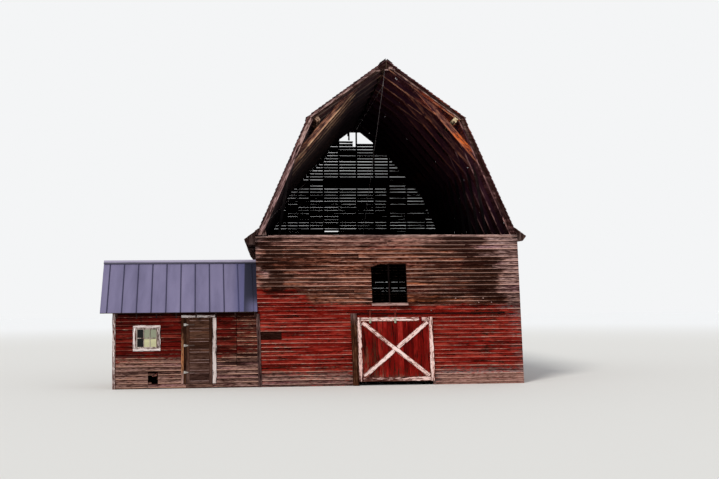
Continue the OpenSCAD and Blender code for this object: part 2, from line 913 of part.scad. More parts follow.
// The frame round the leaf and its two crossing boards
module door_frame() {
    w = rail_board_w;
    in_x0 = leaf_x0 + w;
    in_x1 = leaf_x1 - w;
    in_z0 = leaf_z + w;
    in_z1 = leaf_top - w;
    diagonal = norm([in_x1 - in_x0, in_z1 - in_z0]);
    dx = cross_w / 2 * diagonal / (in_z1 - in_z0);
    dz = cross_w / 2 * diagonal / (in_x1 - in_x0);
    rising = [[in_x0, in_z0], [in_x0 + dx, in_z0], [in_x1, in_z1 - dz], [in_x1, in_z1],
        [in_x1 - dx, in_z1], [in_x0, in_z0 + dz]];
    falling = [for (p = rising) [in_x0 + in_x1 - p[0], p[1]]];
    color(wood_pale)
        placed()
            union() {
                difference() {
                    leaning_block(leaf_x0, leaf_x1, frame_front, leaf_front, leaf_z, leaf_top);
                    leaning_block(in_x0, in_x1, frame_front - w, leaf_front + w, in_z0, in_z1);
                }
                for (board = [rising, falling])
                    along_y([for (p = board) lean(p)], frame_front, leaf_front);
            }
}

module door_hangers() {
    wheel_z = track_z + wheel_gap + wheel_r;
    wheel_y = track_front + track_t / 2;
    color(steel_dark)
        placed()
            for (d = [hanger_left, hanger_right]) {
                x = lean_x(leaf_x0 + d, leaf_top);
                block(x - hanger_w / 2, x + hanger_w / 2, hanger_front, frame_front,
                    leaf_top - hanger_lap, wheel_z + 2 * axle_r);
                translate([x, wheel_y + wheel_w / 2, wheel_z])
                    rotate([90, 0, 0])
                        cylinder(r = wheel_r, h = wheel_w);
                translate([x, frame_front, wheel_z])
                    rotate([90, 0, 0])
                        cylinder(r = axle_r, h = hanger_t + axle_r);
            }
}

// Walls of the shed

shed_wall_t = siding_t + shed_stud_d;
shed_roof_t = shed_deck_t + shed_sheet_t;
shed_under = shed_roof_t + panel_gap;

// Height of the shed roof's section at distance y from the front, d inside its outer surface
function shed_roof_z(y, d) =
    shed_ridge_z - abs(y - shed_mid_y) * tan(shed_deg) - d / cos(shed_deg);
shed_wall_h = shed_roof_z(0, shed_under + shed_stud_d) + shed_seat;
slab_x0 = -slab_left;
slab_x1 = slab_x0 + slab_w;
shed_door_x0 = slab_x0 - slab_gap;
shed_door_x1 = slab_x1 + slab_gap;
shed_head_z = slab_z + slab_h + slab_gap;
shed_x0 = -shed_left;
function barn_face_x(z) = lean_x(-half_w, z) - panel_gap;

module shed_studs(x0, x1, y0, z0, z1) {
    studs = max(1, round((x1 - x0) / shed_pitch));
    step = (x1 - x0 - shed_stud_t) / studs;
    for (i = [0:studs])
        block(x0 + i * step, x0 + i * step + shed_stud_t, y0, y0 + shed_stud_d, z0, z1);
}

module shed_front_left() {
    wx0 = -shed_window_left;
    wx1 = wx0 + shed_window_w;
    wz1 = shed_window_z + shed_window_h;
    color(wood_red)
        placed()
            difference() {
                union() {
                    block(shed_x0, shed_door_x0, 0, siding_t, 0, shed_wall_h);
                    shed_studs(shed_x0, shed_door_x0, siding_t, 0, shed_wall_h);
                    block(shed_x0, shed_door_x0, siding_t, shed_wall_t, 0, sill_h);
                    block(shed_x0, shed_door_x0, siding_t, shed_wall_t,
                        shed_wall_h - plate_h, shed_wall_h);
                    block(wx0 - shed_stud_t, wx1 + shed_stud_t, siding_t, shed_wall_t,
                        shed_window_z - shed_stud_t, wz1 + shed_stud_t);
                }
                block(wx0, wx1, -siding_t, 2 * shed_wall_t, shed_window_z, wz1);
                block(-hole_left, hole_w - hole_left, -siding_t, siding_t, hole_z, hole_z + hole_h);
            }
}

// The wall right of the shed's door, its right end cut to the leaning barn
module shed_front_right() {
    end0 = barn_face_x(0);
    end1 = barn_face_x(shed_wall_h);
    color(wood_red)
        placed()
            union() {
                along_y([[shed_door_x1, 0], [end0, 0], [end1, shed_wall_h],
                    [shed_door_x1, shed_wall_h]], 0, siding_t);
                shed_studs(shed_door_x1, end1, siding_t, 0, shed_wall_h);
                block(shed_door_x1, end1, siding_t, shed_wall_t, 0, sill_h);
                block(shed_door_x1, end1, siding_t, shed_wall_t, shed_wall_h - plate_h, shed_wall_h);
            }
}

module shed_front_head() {
    color(wood_red)
        placed()
            block(shed_door_x0, shed_door_x1, 0, shed_wall_t, shed_head_z, shed_wall_h);
}

module shed_left_wall() {
    y0 = shed_wall_t;
    y1 = shed_d - shed_wall_t;
    studs = round((y1 - y0) / shed_pitch);
    step = (y1 - y0 - shed_stud_t) / studs;
    eave = shed_roof_z(0, shed_under);
    gable = [[y0, 0], [y1, 0], [y1, shed_wall_h], [shed_d, shed_wall_h], [shed_d, eave],
        [shed_mid_y, shed_roof_z(shed_mid_y, shed_under)], [0, eave], [0, shed_wall_h],
        [y0, shed_wall_h]];
    color(wood_red)
        placed()
            union() {
                along_x(gable, shed_x0, shed_x0 + siding_t);
                for (i = [0:studs]) {
                    ya = y0 + i * step;
                    yb = ya + shed_stud_t;
                    top = min(shed_roof_z(ya, shed_under), shed_roof_z(yb, shed_under));
                    block(shed_x0 + siding_t, shed_x0 + shed_wall_t, ya, yb, 0, top);
                }
                block(shed_x0 + siding_t, shed_x0 + shed_wall_t, y0, y1, 0, sill_h);
            }
}

module shed_rear_wall() {
    end0 = barn_face_x(0);
    end1 = barn_face_x(shed_wall_h);
    stud_y = shed_d - shed_wall_t;
    color(wood_red)
        placed()
            union() {
                along_y([[shed_x0, 0], [end0, 0], [end1, shed_wall_h], [shed_x0, shed_wall_h]],
                    shed_d - siding_t, shed_d);
                shed_studs(shed_x0, end1, stud_y, 0, shed_wall_h);
                block(shed_x0, end1, stud_y, stud_y + shed_stud_d, 0, sill_h);
                block(shed_x0, end1, stud_y, stud_y + shed_stud_d, shed_wall_h - plate_h, shed_wall_h);
            }
}

// Roof of the shed: boards, metal sheet and standing seams, skewed to the left towards the ridge

shed_slope = (shed_mid_y + shed_over) / cos(shed_deg);
seam_n = floor((barn_face_x(shed_eave_z) - shed_sheet_left - seam_first) / seam_pitch);

// A strip of roof from the eave to the ridge, drawn flat and then tilted up to its slope
module roof_strip(x0, x1, end0, end1, low, high) {
    translate([0, -shed_over, shed_eave_z])
        rotate([shed_deg, 0, 0])
            translate([0, 0, low])
                linear_extrude(high - low)
                    polygon([[x0, 0], [x1, 0], [end1, shed_slope], [end0, shed_slope]]);
}

module shed_roof_half() {
    x0 = shed_sheet_left;
    x1 = barn_face_x(shed_eave_z) - shed_gap;
    x2 = barn_face_x(shed_ridge_z) - shed_gap;
    difference() {
        roof_strip(x0, x1, x0 - shed_skew, x2, -shed_roof_t, 0);
        block(x0 - 2 * shed_skew, x2 + shed_skew, shed_mid_y, shed_d, 0, shed_ridge_z);
    }
    for (i = [0:seam_n]) {
        x = x0 + seam_first + i * seam_pitch;
        roof_strip(x - seam_w / 2, x + seam_w / 2, x - shed_skew - seam_w / 2,
            x - shed_skew + seam_w / 2, 0, seam_h);
    }
}

module shed_roof_front() {
    color(roof_metal)
        placed()
            shed_roof_half();
}

module shed_roof_rear() {
    color(roof_metal)
        placed()
            translate([0, shed_d, 0])
                mirror([0, 1, 0])
                    shed_roof_half();
}

module shed_ridge_cap() {
    reach = shed_cap_w * cos(shed_deg);
    x0 = shed_sheet_left - shed_skew;
    x1 = barn_face_x(shed_ridge_z) - shed_gap;
    y0 = shed_mid_y - reach;
    y1 = shed_mid_y + reach;
    low = -seam_h - panel_gap;
    high = low - shed_sheet_t;
    color(roof_metal)
        placed()
            along_x([[y0, shed_roof_z(y0, low)], [shed_mid_y, shed_roof_z(shed_mid_y, low)],
                [y1, shed_roof_z(y1, low)], [y1, shed_roof_z(y1, high)],
                [shed_mid_y, shed_roof_z(shed_mid_y, high)], [y0, shed_roof_z(y0, high)]], x0, x1);
}

module shed_rafter() {
    deep = shed_under + shed_stud_d;
    seat_y = (shed_seat + panel_gap) / tan(shed_deg);
    seat_z = shed_wall_h + panel_gap;
    front_y = -panel_gap;
    ridge_y = shed_mid_y - panel_gap / 2;
    along_x([[-shed_over, shed_roof_z(-shed_over, shed_under)],
        [-shed_over, shed_roof_z(-shed_over, deep)], [front_y, shed_roof_z(front_y, deep)],
        [front_y, seat_z], [seat_y, seat_z], [ridge_y, shed_roof_z(ridge_y, deep)],
        [ridge_y, shed_roof_z(ridge_y, shed_under)]], 0, shed_stud_t);
}

module shed_rafters() {
    x0 = shed_x0 + shed_wall_t;
    x1 = barn_face_x(shed_ridge_z) - shed_gap - shed_stud_t;
    n = round((x1 - x0) / shed_pitch);
    color(wood_dark)
        placed()
            for (i = [0:n])
                translate([x0 + i * (x1 - x0) / n, 0, 0]) {
                    shed_rafter();
                    translate([0, shed_d, 0])
                        mirror([0, 1, 0])
                            shed_rafter();
                }
}

// Shed door, its hinges and the boards round it

slab_front = -slab_proud;
hinge_x = slab_x0 - slab_gap / 2;
hinge_y = -trim_t - barrel_r;
barrel_h = strap_h;
knuckle_gap = 1;
casing_top = slab_z + slab_h + slab_gap / 2;

module shed_door() {
    color(wood_bare)
        placed()
            block(slab_x0, slab_x1, slab_front, slab_front + slab_t, slab_z, slab_z + slab_h);
}

// A strap on the slab, cranked forward to its barrel
module shed_hinge_straps() {
    back = slab_front - hinge_y;
    root_l = 3 * barrel_r;
    color(steel_dark)
        placed()
            for (h = hinge_heights)
                translate([hinge_x, hinge_y, slab_z + h])
                    difference() {
                        union() {
                            cylinder(r = barrel_r, h = barrel_h, center = true);
                            block(0, root_l, 0, back, -strap_h / 2, strap_h / 2);
                            block(0, strap_l, back - strap_t, back, -strap_h / 2, strap_h / 2);
                        }
                        cylinder(r = pin_r + pin_gap, h = 2 * barrel_h, center = true);
                    }
}

// A plate on the jamb with a knuckle above and below the strap's barrel, and the pin through them
module shed_hinge_plates() {
    knuckle_h = barrel_h / 2;
    plate_x0 = -jamb_w / 2;
    reach = barrel_h / 2 + knuckle_gap + knuckle_h;
    face = -trim_t - hinge_y;
    color(steel_dark)
        placed()
            for (h = hinge_heights)
                translate([hinge_x, hinge_y, slab_z + h]) {
                    cylinder(r = pin_r, h = 2 * reach, center = true);
                    block(plate_x0, -barrel_r - knuckle_gap, face - strap_t, face, -reach, reach);
                    for (s = [-1, 1])
                        translate([0, 0, s * (reach - knuckle_h / 2)]) {
                            cylinder(r = barrel_r, h = knuckle_h, center = true);
                            block(-barrel_r - knuckle_gap, 0, face - strap_t, face,
                                -knuckle_h / 2, knuckle_h / 2);
                        }
                }
}

// The dark hinge-side board and the threshold of the shed's doorway
module shed_jamb() {
    color(wood_dark)
        placed() {
            block(shed_door_x0 - jamb_w, shed_door_x0, -trim_t, 0, slab_z, casing_top);
            block(shed_door_x0, shed_door_x1, 0, shed_wall_t, 0, slab_z - slab_gap);
        }
}

// The pale boards of the shed: door casing, corner board and window casing
module shed_trim() {
    wx0 = -shed_window_left;
    wx1 = wx0 + shed_window_w;
    wz0 = shed_window_z;
    wz1 = shed_window_z + shed_window_h;
    w = window_casing_w;
    color(wood_pale)
        placed() {
            block(shed_door_x1, shed_door_x1 + casing_w, -trim_t, 0, slab_z, casing_top);
            block(shed_door_x0 - jamb_w, shed_door_x1 + casing_w, -trim_t, 0,
                casing_top, casing_top + header_h);
            block(shed_x0 - trim_t, shed_x0 - trim_t + corner_w, -trim_t, 0, 0, shed_wall_h);
            difference() {
                block(wx0 - w, wx1 + w, -trim_t, 0, wz0 - w, wz1 + w);
                block(wx0, wx1, -2 * trim_t, trim_t, wz0, wz1);
            }
        }
}

// The sash: an outer frame and, in front of the panes, two upright bars and one level bar
module shed_window() {
    wx0 = -shed_window_left;
    wx1 = wx0 + shed_window_w;
    wz1 = shed_window_z + shed_window_h;
    pane_w = (shed_window_w - 2 * sash_w) / pane_columns;
    mid_z = shed_window_z + shed_window_h / 2;
    color(wood_pale)
        placed()
            union() {
                difference() {
                    block(wx0, wx1, 0, sash_t, shed_window_z, wz1);
                    block(wx0 + sash_w, wx1 - sash_w, -sash_t, 2 * sash_t,
                        shed_window_z + sash_w, wz1 - sash_w);
                }
                for (i = [1:pane_columns - 1]) {
                    x = wx0 + sash_w + i * pane_w;
                    block(x - muntin_w / 2, x + muntin_w / 2, 0, sash_t / 2, shed_window_z, wz1);
                }
                block(wx0, wx1, 0, sash_t / 2, mid_z - muntin_w / 2, mid_z + muntin_w / 2);
            }
}

module shed_glass() {
    wx0 = -shed_window_left + sash_w;
    wx1 = wx0 + shed_window_w - 2 * sash_w;
    color([0.5, 0.55, 0.5, 0.4])
        placed()
            block(wx0, wx1, sash_t / 2, sash_t / 2 + glass_t, shed_window_z + sash_w,
                shed_window_z + shed_window_h - sash_w);
}

front_wall_left();
front_wall_middle();
front_wall_right();
left_wall();
right_wall();
rear_wall();
rear_gable();
front_trim();
roof_lower_left();
roof_lower_right();
roof_upper_left();
roof_upper_right();
ridge_cap();
eave_flares();
gable_trim();
lower_rafters();
upper_rafters();
knee_braces();
loft_struts();
roof_purlins();
loft_floor();
loft_girders();
loft_posts();
stay_cables();
door_post();
door_track();
door_leaf();
door_frame();
door_hangers();
shed_front_left();
shed_front_right();
shed_front_head();
shed_left_wall();
shed_rear_wall();
shed_jamb();
shed_roof_front();
shed_roof_rear();
shed_rafters();
shed_ridge_cap();
shed_door();
shed_hinge_straps();
shed_hinge_plates();
shed_trim();
shed_window();
shed_glass();
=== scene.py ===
import math

import bpy
import numpy as np
from mathutils import Matrix, Vector


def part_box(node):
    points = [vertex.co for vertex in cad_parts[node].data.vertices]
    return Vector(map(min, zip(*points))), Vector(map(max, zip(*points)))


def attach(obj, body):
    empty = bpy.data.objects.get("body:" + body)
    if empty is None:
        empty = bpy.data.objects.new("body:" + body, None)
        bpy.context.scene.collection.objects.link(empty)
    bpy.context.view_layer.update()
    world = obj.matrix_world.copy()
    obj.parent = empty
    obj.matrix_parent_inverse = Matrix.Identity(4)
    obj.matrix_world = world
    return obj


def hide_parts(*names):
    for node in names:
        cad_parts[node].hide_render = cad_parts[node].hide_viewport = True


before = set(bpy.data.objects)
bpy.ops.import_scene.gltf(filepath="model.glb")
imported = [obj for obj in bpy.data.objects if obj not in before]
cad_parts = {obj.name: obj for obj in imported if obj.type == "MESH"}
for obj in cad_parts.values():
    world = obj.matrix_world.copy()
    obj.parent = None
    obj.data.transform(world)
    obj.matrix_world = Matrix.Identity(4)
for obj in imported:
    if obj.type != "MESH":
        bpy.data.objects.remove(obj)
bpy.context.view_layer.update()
bpy.context.scene.view_settings.view_transform = "Standard"

# Sizes of the barn in metres. x = 0 is the roof's centre line, y = 0 the face of the front siding.
HALF_W, BARN_L, WALL_H, WALL_T, SIDING_T = 4.267, 12.192, 4.83, 0.16, 0.02
RACK = math.tan(math.radians(1.8))
APEX_Z, KINK_X, KINK_Z, FOOT_X = 10.56, 2.56, 8.69, 4.247
ROOF_T, ROOF_OVER, RAFTER_D, RAFTER_T, FRAME_N = 0.05, 0.15, 0.15, 0.05, 11
CAP_T, SILL_H, PLATE_H, STUD_T, STUD_PITCH = 0.055, 0.14, 0.09, 0.045, 0.61
BRACE_W, BRACE_TOP_X, BRACE, STRUT = 0.185, 1.18, math.radians(49.5), math.radians(80.6)
LOWER = math.atan((KINK_Z - WALL_H) / (FOOT_X - KINK_X))
UPPER = math.atan((APEX_Z - KINK_Z) / KINK_X)
INNER = ROOF_T + RAFTER_D
ROOF_Y0, ROOF_Y1 = -ROOF_OVER, BARN_L + ROOF_OVER
DOOR_X0, DOOR_X1, DOOR_Z1 = -1.115, 1.285, 2.13
WINDOW = (-0.58, 0.563, 2.632, 3.889)
SHED_X0, SHED_D, SHED_MID, SHED_RIDGE, SHED_EAVE, SHED_OVER = -8.715, 2.438, 1.219, 4.05, 2.4, 0.2
SHED = math.atan((SHED_RIDGE - SHED_EAVE) / (SHED_MID + SHED_OVER))
SHED_WALL_T, SHED_DECK = 0.11, 0.0293
SHED_WALL_H = SHED_RIDGE - SHED_MID * math.tan(SHED) - (SHED_DECK + 0.09) / math.cos(SHED) + 0.06
COURSE = 0.13
NEAR = 0.0003  # the gap between faces that would otherwise lie in one plane
SHADE_BLACK = 2.6  # painted shade for wood inside the dark barn: a stain value so deep that the wood goes black
UP, ACROSS, DEEP = Vector((0, 0, 1)), Vector((1, 0, 0)), Vector((0, 1, 0))

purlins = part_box("roof_purlins")
HERE = Vector(((purlins[0].x + purlins[1].x) / 2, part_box("left_wall")[0].y - WALL_T, 0))


def srgb(r, g, b):
    """A colour from its 0 to 255 screen values."""
    return tuple(c / 12.92 if c <= 0.04045 else ((c + 0.055) / 1.055) ** 2.4 for c in (r / 255, g / 255, b / 255))


def tones(*colours):
    return tuple(srgb(*colour) for colour in colours)


def lower_x(z, d=0.0):
    return FOOT_X - d / math.sin(LOWER) - (z - WALL_H) / math.tan(LOWER)


def upper_z(x, d=0.0):
    return APEX_Z - d / math.cos(UPPER) - x * math.tan(UPPER)


def at(side, x, z):
    """A point x out from the centre line on one side."""
    return Vector((side * x, 0, z))


def kink_at(d=0.0, side=1):
    """The point where the two slopes meet, d inside the roof's outer surface."""
    x = (lower_x(0, d) - upper_z(0, d) / math.tan(LOWER)) / (1 - math.tan(UPPER) / math.tan(LOWER))
    return at(side, x, upper_z(x, d))


def section_x(z, d=0.0):
    """Half the inner width of the roof's section at height z."""
    return (upper_z(0, d) - z) / math.tan(UPPER) if z > kink_at(d).z else lower_x(z, d)


def lean(points):
    """Leans points of the walls as the racked barn leans: they move right as they go down."""
    out = np.array(points, float)
    out[..., 0] += (WALL_H - out[..., 2]) * RACK
    return out


def ripple(rng, n, size, knots=5):
    """A smooth random line of n values."""
    return np.interp(np.linspace(0, 1, n), np.linspace(0, 1, knots), rng.normal(0, size, knots))


def bump_at(values, centre, spread):
    return np.exp(-((values - centre) / spread) ** 2)


def ramp_up(values, low, high):
    return np.clip((values - low) / (high - low), 0, 1)


def ramp_down(values, low, high):
    return 1 - ramp_up(values, low, high)


# Node materials

class Value:
    """What a node gives out, with arithmetic that adds further nodes."""

    def __init__(self, look, socket):
        self.look, self.socket = look, socket

    def __add__(self, other):
        return self.look.math("ADD", self, other)

    def __mul__(self, other):
        return self.look.math("MULTIPLY", self, other)

    __radd__, __rmul__ = __add__, __mul__

    def __sub__(self, other):
        return self.look.math("SUBTRACT", self, other)

    def __rsub__(self, other):
        return self.look.math("SUBTRACT", other, self)

    def __abs__(self):
        return self.look.math("ABSOLUTE", self)

    def clamped(self):
        self.socket.node.use_clamp = True
        return self

    def gain(self, factor):
        """factor times how far a noise is from its middle."""
        return self.look.node("Math", {0: self, 1: factor, 2: -0.5 * factor}, operation="MULTIPLY_ADD")

    def smooth(self, low, high):
        return self.look.node("MapRange", {"Value": self, "From Min": low, "From Max": high},
                              interpolation_type="SMOOTHSTEP")

    def part(self, axis):
        return self.look.node("SeparateXYZ", {0: self}, axis)

    def noise(self, factors, detail=4.0, rough=0.6, twist=0.0):
        """Noise in this space, drawn closer together by factors."""
        close = self.look.node("VectorMath", {0: self, 1: factors}, operation="MULTIPLY")
        return self.look.node("TexNoise", {"Vector": close, "Scale": 1.0, "Detail": detail, "Roughness": rough,
                                           "Distortion": twist}, "Fac")

    def ramp(self, positions, colours):
        made = self.look.tree.nodes.new("ShaderNodeValToRGB")
        self.look.fill(made, {0: self})
        dots = made.color_ramp.elements
        while len(dots) < len(colours):
            dots.new(0.5)
        for dot, position, colour in zip(dots, positions, colours):
            dot.position, dot.color = position, (*colour, 1)
        return Value(self.look, made.outputs["Color"])

    def mix(self, amount, other, blend="MIX"):
        return self.look.mix(amount, self, other, blend)

    def tint(self, amount, other):
        return self.look.mix(amount, self, other, "MULTIPLY")


class Nodes:
    """A node tree, put together one call at a time."""

    def __init__(self, tree):
        self.tree = tree

    def fill(self, made, inputs):
        for key, value in inputs.items():
            socket = made.inputs[key]
            if isinstance(value, Value):
                self.tree.links.new(value.socket, socket)
            else:
                socket.default_value = (*value, 1) if socket.type == "RGBA" else value

    def node(self, kind, inputs, out=0, **settings):
        made = self.tree.nodes.new("ShaderNode" + kind)
        for key, value in settings.items():
            setattr(made, key, value)
        self.fill(made, inputs)
        return Value(self, made.outputs[out])

    def math(self, operation, a, b=0.0):
        return self.node("Math", {0: a, 1: b}, operation=operation)

    def mix(self, amount, a, b, blend="MIX"):
        return self.node("Mix", {0: amount, 6: a, 7: b}, 2, data_type="RGBA", blend_type=blend)

    def place(self):
        return self.node("TexCoord", {}, "Object")

    def local(self):
        """x, y and z as this script counts them, from the roof's centre line and the front siding."""
        shifted = self.node("VectorMath", {0: self.place(), 1: tuple(HERE)}, operation="SUBTRACT")
        return (shifted.part(axis) for axis in "XYZ")

    def normal(self, axis):
        return self.node("NewGeometry", {}, "Normal").part(axis)


class Finish(Nodes):
    """A procedural material."""

    def __init__(self, name, specular=0.02):
        self.material = bpy.data.materials.new(name)
        self.material.use_nodes = True
        super().__init__(self.material.node_tree)
        self.shader = self.tree.nodes["Principled BSDF"]
        self.fill(self.shader, {"Specular IOR Level": specular})

    def carried(self, name, kind="Fac"):
        """A value that the mesh carries at its points."""
        return self.node("Attribute", {}, kind, attribute_name=name)

    def surface(self, colour, roughness, height=None, depth=0.0, metallic=0.0):
        self.fill(self.shader, {"Base Color": colour, "Roughness": roughness, "Metallic": metallic})
        if height is not None:
            bump = self.node("Bump", {"Height": height, "Distance": depth, "Strength": 1.0})
            self.fill(self.shader, {"Normal": bump})
        return self.material


def sloped(angle):
    """Grain space for timbers that slope by angle on both sides of the ridge."""
    def grain(look):
        x, y, z = look.local()
        flat = look.node("CombineXYZ", {"X": abs(x), "Y": y, "Z": z})
        return look.node("VectorRotate", {"Vector": flat, "Angle": -angle, "Axis": (0, 1, 0)},
                         rotation_type="AXIS_ANGLE")
    return grain


def turned(order):
    """Grain space along the first axis of order."""
    def grain(look):
        place = look.place()
        return look.node("CombineXYZ", {to: place.part(axis) for to, axis in zip("XYZ", order)})
    return grain


LEVEL, UPRIGHT = turned("YXZ"), turned("ZXY")


def wood(name, bare, paint=None, grain=None, rim=None, contrast=1.0, shade=None, chipped=0.0, lit=None, glow=None,
         lips=(0.7, 1.0)):
    """Weathered wood. bare is dark, middle and light; paint is deep, middle and faded; rim is a worn lip's colour.

    Boards made here carry their own grain space, tone, wear (paint left, stain, greying) and rim; stains past 1.9
    go near black as painted shade inside the barn. CAD timbers carry nothing, and get their space from grain. lips
    is how clear the worn lower lips are on bare and on painted wood, and chipped takes paint off along both edges.
    shade is painted shade on the timbers inside: how much on faces that look along the barn, how much deep in it,
    and the tints it leaves on the left and on the right; timbers low down are darkened too. lit is a painted
    highlight along an inner edge: a point on it, its slope, and its colours on the left and on the right. glow is
    a painted pool of light on the right: height, spread, depth into the barn, colour."""
    look = Finish(name)
    place = look.place()
    carried = grain is None
    space = look.carried("grain", "Vector") if carried else grain(look)
    streak = space.noise((1.3, 24, 24), 5, 0.7, 0.5)
    fibre = space.noise((4, 150, 150), 4, 0.7)
    patch = space.noise((0.75, 2.4, 2.4), 3, 0.55)
    dash = space.noise((6, 42, 42), 2, 0.5)
    if carried:
        tone, edge = look.carried("tone"), look.carried("rim")
        left, stain, grey = (look.carried("wear", "Vector").part(axis) for axis in "XYZ")
    else:
        tone, left = space.noise((0.05, 1.9, 1.9), 1, 0.5), 0.62

    # Bare wood, warm in patches, silver where it is weathered, and some boards ochre or plum
    level = (0.5 + streak.gain(2.2 * contrast) + fibre.gain(0.9 * contrast)
             + dash.gain((1.6 if rim else 1.0) * contrast) + patch.gain(0.6 if rim else 0.9)
             + tone.gain(0.3 if rim else 0.5))
    if rim:
        level = level + edge.gain(0.34)
    warm = (patch + tone.gain(0.25)).smooth(0.52, 0.68) * (0.4 if rim else 0.6)
    colour = level.ramp((0.08, 0.5, 0.95), bare).tint(warm, (1.3, 0.96, 0.68))
    if carried:
        silver = level.ramp((0.05, 0.5, 0.95), tones((46, 30, 29), (106, 80, 76), (176, 146, 142)))
        colour = colour.mix((grey * 0.85).clamped(), silver)
        colour = colour.mix(grey.smooth(1.9, 2.5) * 0.38, srgb(190, 138, 122))
    if rim:
        hue = look.math("FRACT", tone * 7.3)
        ochre = hue.smooth(0.84, 0.9) * patch.smooth(0.44, 0.58) * (edge.smooth(0.3, 0.6) - grey).clamped()
        plum = hue.smooth(0.24, 0.16) * patch.smooth(0.6, 0.46)
        colour = colour.tint(ochre * 0.75, (1.4, 1.05, 0.58)).tint(plum * 0.7, (0.86, 0.68, 0.86))

    # Paint that flakes along the grain, then the cracks
    height = fibre * 0.6 + streak * 0.9
    if paint:
        flake = left + streak.gain(1.6) + fibre.gain(0.8) + dash.gain(1.3) + patch.gain(0.5)
        if chipped:
            flake = flake - abs(edge - 0.5).smooth(0.26, 0.5) * chipped
            flake = flake - space.noise((10, 24, 24), 3, 0.6).smooth(0.55, 0.64) * chipped
        worn = flake.smooth(0.42, 0.56)
        faded = 0.5 + patch.gain(1.3) + streak.gain(1.5 * contrast) + fibre.gain(0.7) + tone.gain(0.28)
        colour = colour.mix(worn, faded.ramp((0.1, 0.55, 0.95), paint))
        height = height + worn * 0.25
    deepest = (dash + streak.gain(0.3)).smooth(0.46, 0.34) * 0.78 if rim else dash.smooth(0.42, 0.32) * 0.65
    colour = colour.tint(deepest, (0.3, 0.22, 0.2))

    # Dark stains, near black past 1.9 as painted shade inside the barn, and the worn lower lip of a board with a
    # painted shadow under the next one
    if carried:
        run = space.noise((0.9, 7, 7), 3, 0.6)
        if rim:
            cloud = stain + place.noise((0.8, 0.8, 9), 3, 0.6).gain(1.5) + run.gain(1.3) + streak.gain(1.6)
        else:
            cloud = stain + run.gain(2.4) + streak.gain(1.5)
        dark = (cloud + dash.gain(0.6 if rim else 0.5)).smooth(0.5, 0.8) * stain.smooth(0, 0.25)
        colour = colour.mix(dark * 0.9, srgb(24, 7, 4)).tint(stain.smooth(1.9, 2.3) * 0.8, (0.2, 0.2, 0.3))
    if rim:
        along = space.noise((0.8, 0.02, 0.02), 3, 0.6)
        rub = space.noise((9, 3, 3), 3, 0.6)
        lip = (edge + rub.gain(0.1)).smooth(0.8, 0.88) * (
            along + rub.gain(0.3) + tone.gain(0.25)).smooth(0.28, 0.62) * (1.0 - dark * 0.55)
        pale, strong = rim, 0.85
        if paint:
            pale = look.mix(worn * 0.9, rim, tuple(0.66 * p + 0.16 * r for p, r in zip(paint[2], rim)))
            strong = worn * (lips[1] - lips[0]) + lips[0]
        fleck = space.noise((14, 60, 60), 2, 0.6).smooth(0.66, 0.74) * (0.4 - dark * 0.3)
        colour = colour.mix(look.math("MAXIMUM", lip * strong, fleck), pale)
        # Painted shadow on the head of each board, where the board above laps over it
        under = (edge + rub.gain(0.16)).smooth(0.36, 0.2) * (0.6 + along.gain(1.5) + tone.gain(0.4))
        colour = colour.tint(under.clamped(), (0.22, 0.12, 0.1))

    # Painted shade, painted highlights and painted pools of light by place inside the barn
    if shade or lit or glow:
        across, deep, high = look.local()
        right = across.smooth(-0.3, 0.3)
    if shade:
        # Painted shade: darker on faces that look along the barn, deep in it, on the right, and low down
        facing, far, *tints = shade
        tint = look.mix(right, *tints)
        colour = colour.mix(abs(look.normal("Y")).smooth(0.4, 0.8) * facing, tint)
        colour = colour.mix(deep.smooth(0.2, 3.2) * far, tint).mix(right * 0.4, tint)
        black = deep.smooth(2.0, 10.5) * (0.45 + right * 0.55)
        colour = colour.tint(black * 0.9, (0.1, 0.1, 0.12)).tint(high.smooth(6.9, 5.2), (0.27, 0.28, 0.3))
    if glow:
        # A painted pool of light, in the colour given last in glow
        middle, spread, depth, bleached = glow
        near = abs(high - middle).smooth(spread, spread * 0.3) + deep.smooth(depth, 0.0) + right
        colour = colour.mix(near.smooth(1.9, 3.0) * level.smooth(0.3, 0.75), bleached)
    if lit:
        # A painted highlight along the inner edge, broken into bits
        (x0, z0), angle, *colours = lit
        inward = (abs(across) - x0) * math.sin(angle) + (high - z0) * math.cos(angle)
        line = (inward + space.noise((3, 9, 9), 4, 0.7).gain(0.09)).smooth(0.045, 0.012)
        line = line * space.noise((1.1, 1, 1), 3, 0.6).smooth(0.36, 0.58) * deep.smooth(5.6, -0.6)
        bits = space.noise((2.6, 6, 6), 4, 0.7).smooth(0.38, 0.5)
        line = line * look.mix(right, (1.0, 1.0, 1.0), bits)
        colour = colour.mix(line * 0.85, look.mix(right, *colours))
    return look.surface(colour, 0.97 - streak * 0.15, height, 0.004)


def metal(name, base, spots, gloss, amount, metallic=0.0, specular=0.5):
    """Painted or rusting metal."""
    look = Finish(name, specular)
    place = look.place()
    cloud = place.noise((2.6, 2.6, 0.65), 5, 0.6)
    fine = place.noise((38, 38, 38), 4, 0.7)
    mask = (cloud * 0.7 + fine * 0.3).smooth(1 - amount, 1.08 - amount)
    tint = look.mix(cloud * 0.5, base, tuple(c * 1.45 for c in base))
    return look.surface(tint.mix(mask, spots), fine * 0.25 + gloss, fine, 0.0008, metallic)


# Camera, floor, backdrop and light

CAMERA_AT = Vector((-3.8701, -33.756, 2.6924))
CAMERA_YAW, CAMERA_PITCH, CAMERA_ROLL = math.radians(5.013), math.radians(3.366), math.radians(0.51)
FOCAL_PX, PHOTO_W, SENSOR = 1052.2, 719, 36.0
BACKDROP, FLOOR_TONE = tones((244, 245, 246), (226, 225, 222))
FLOOR_REACH = 160


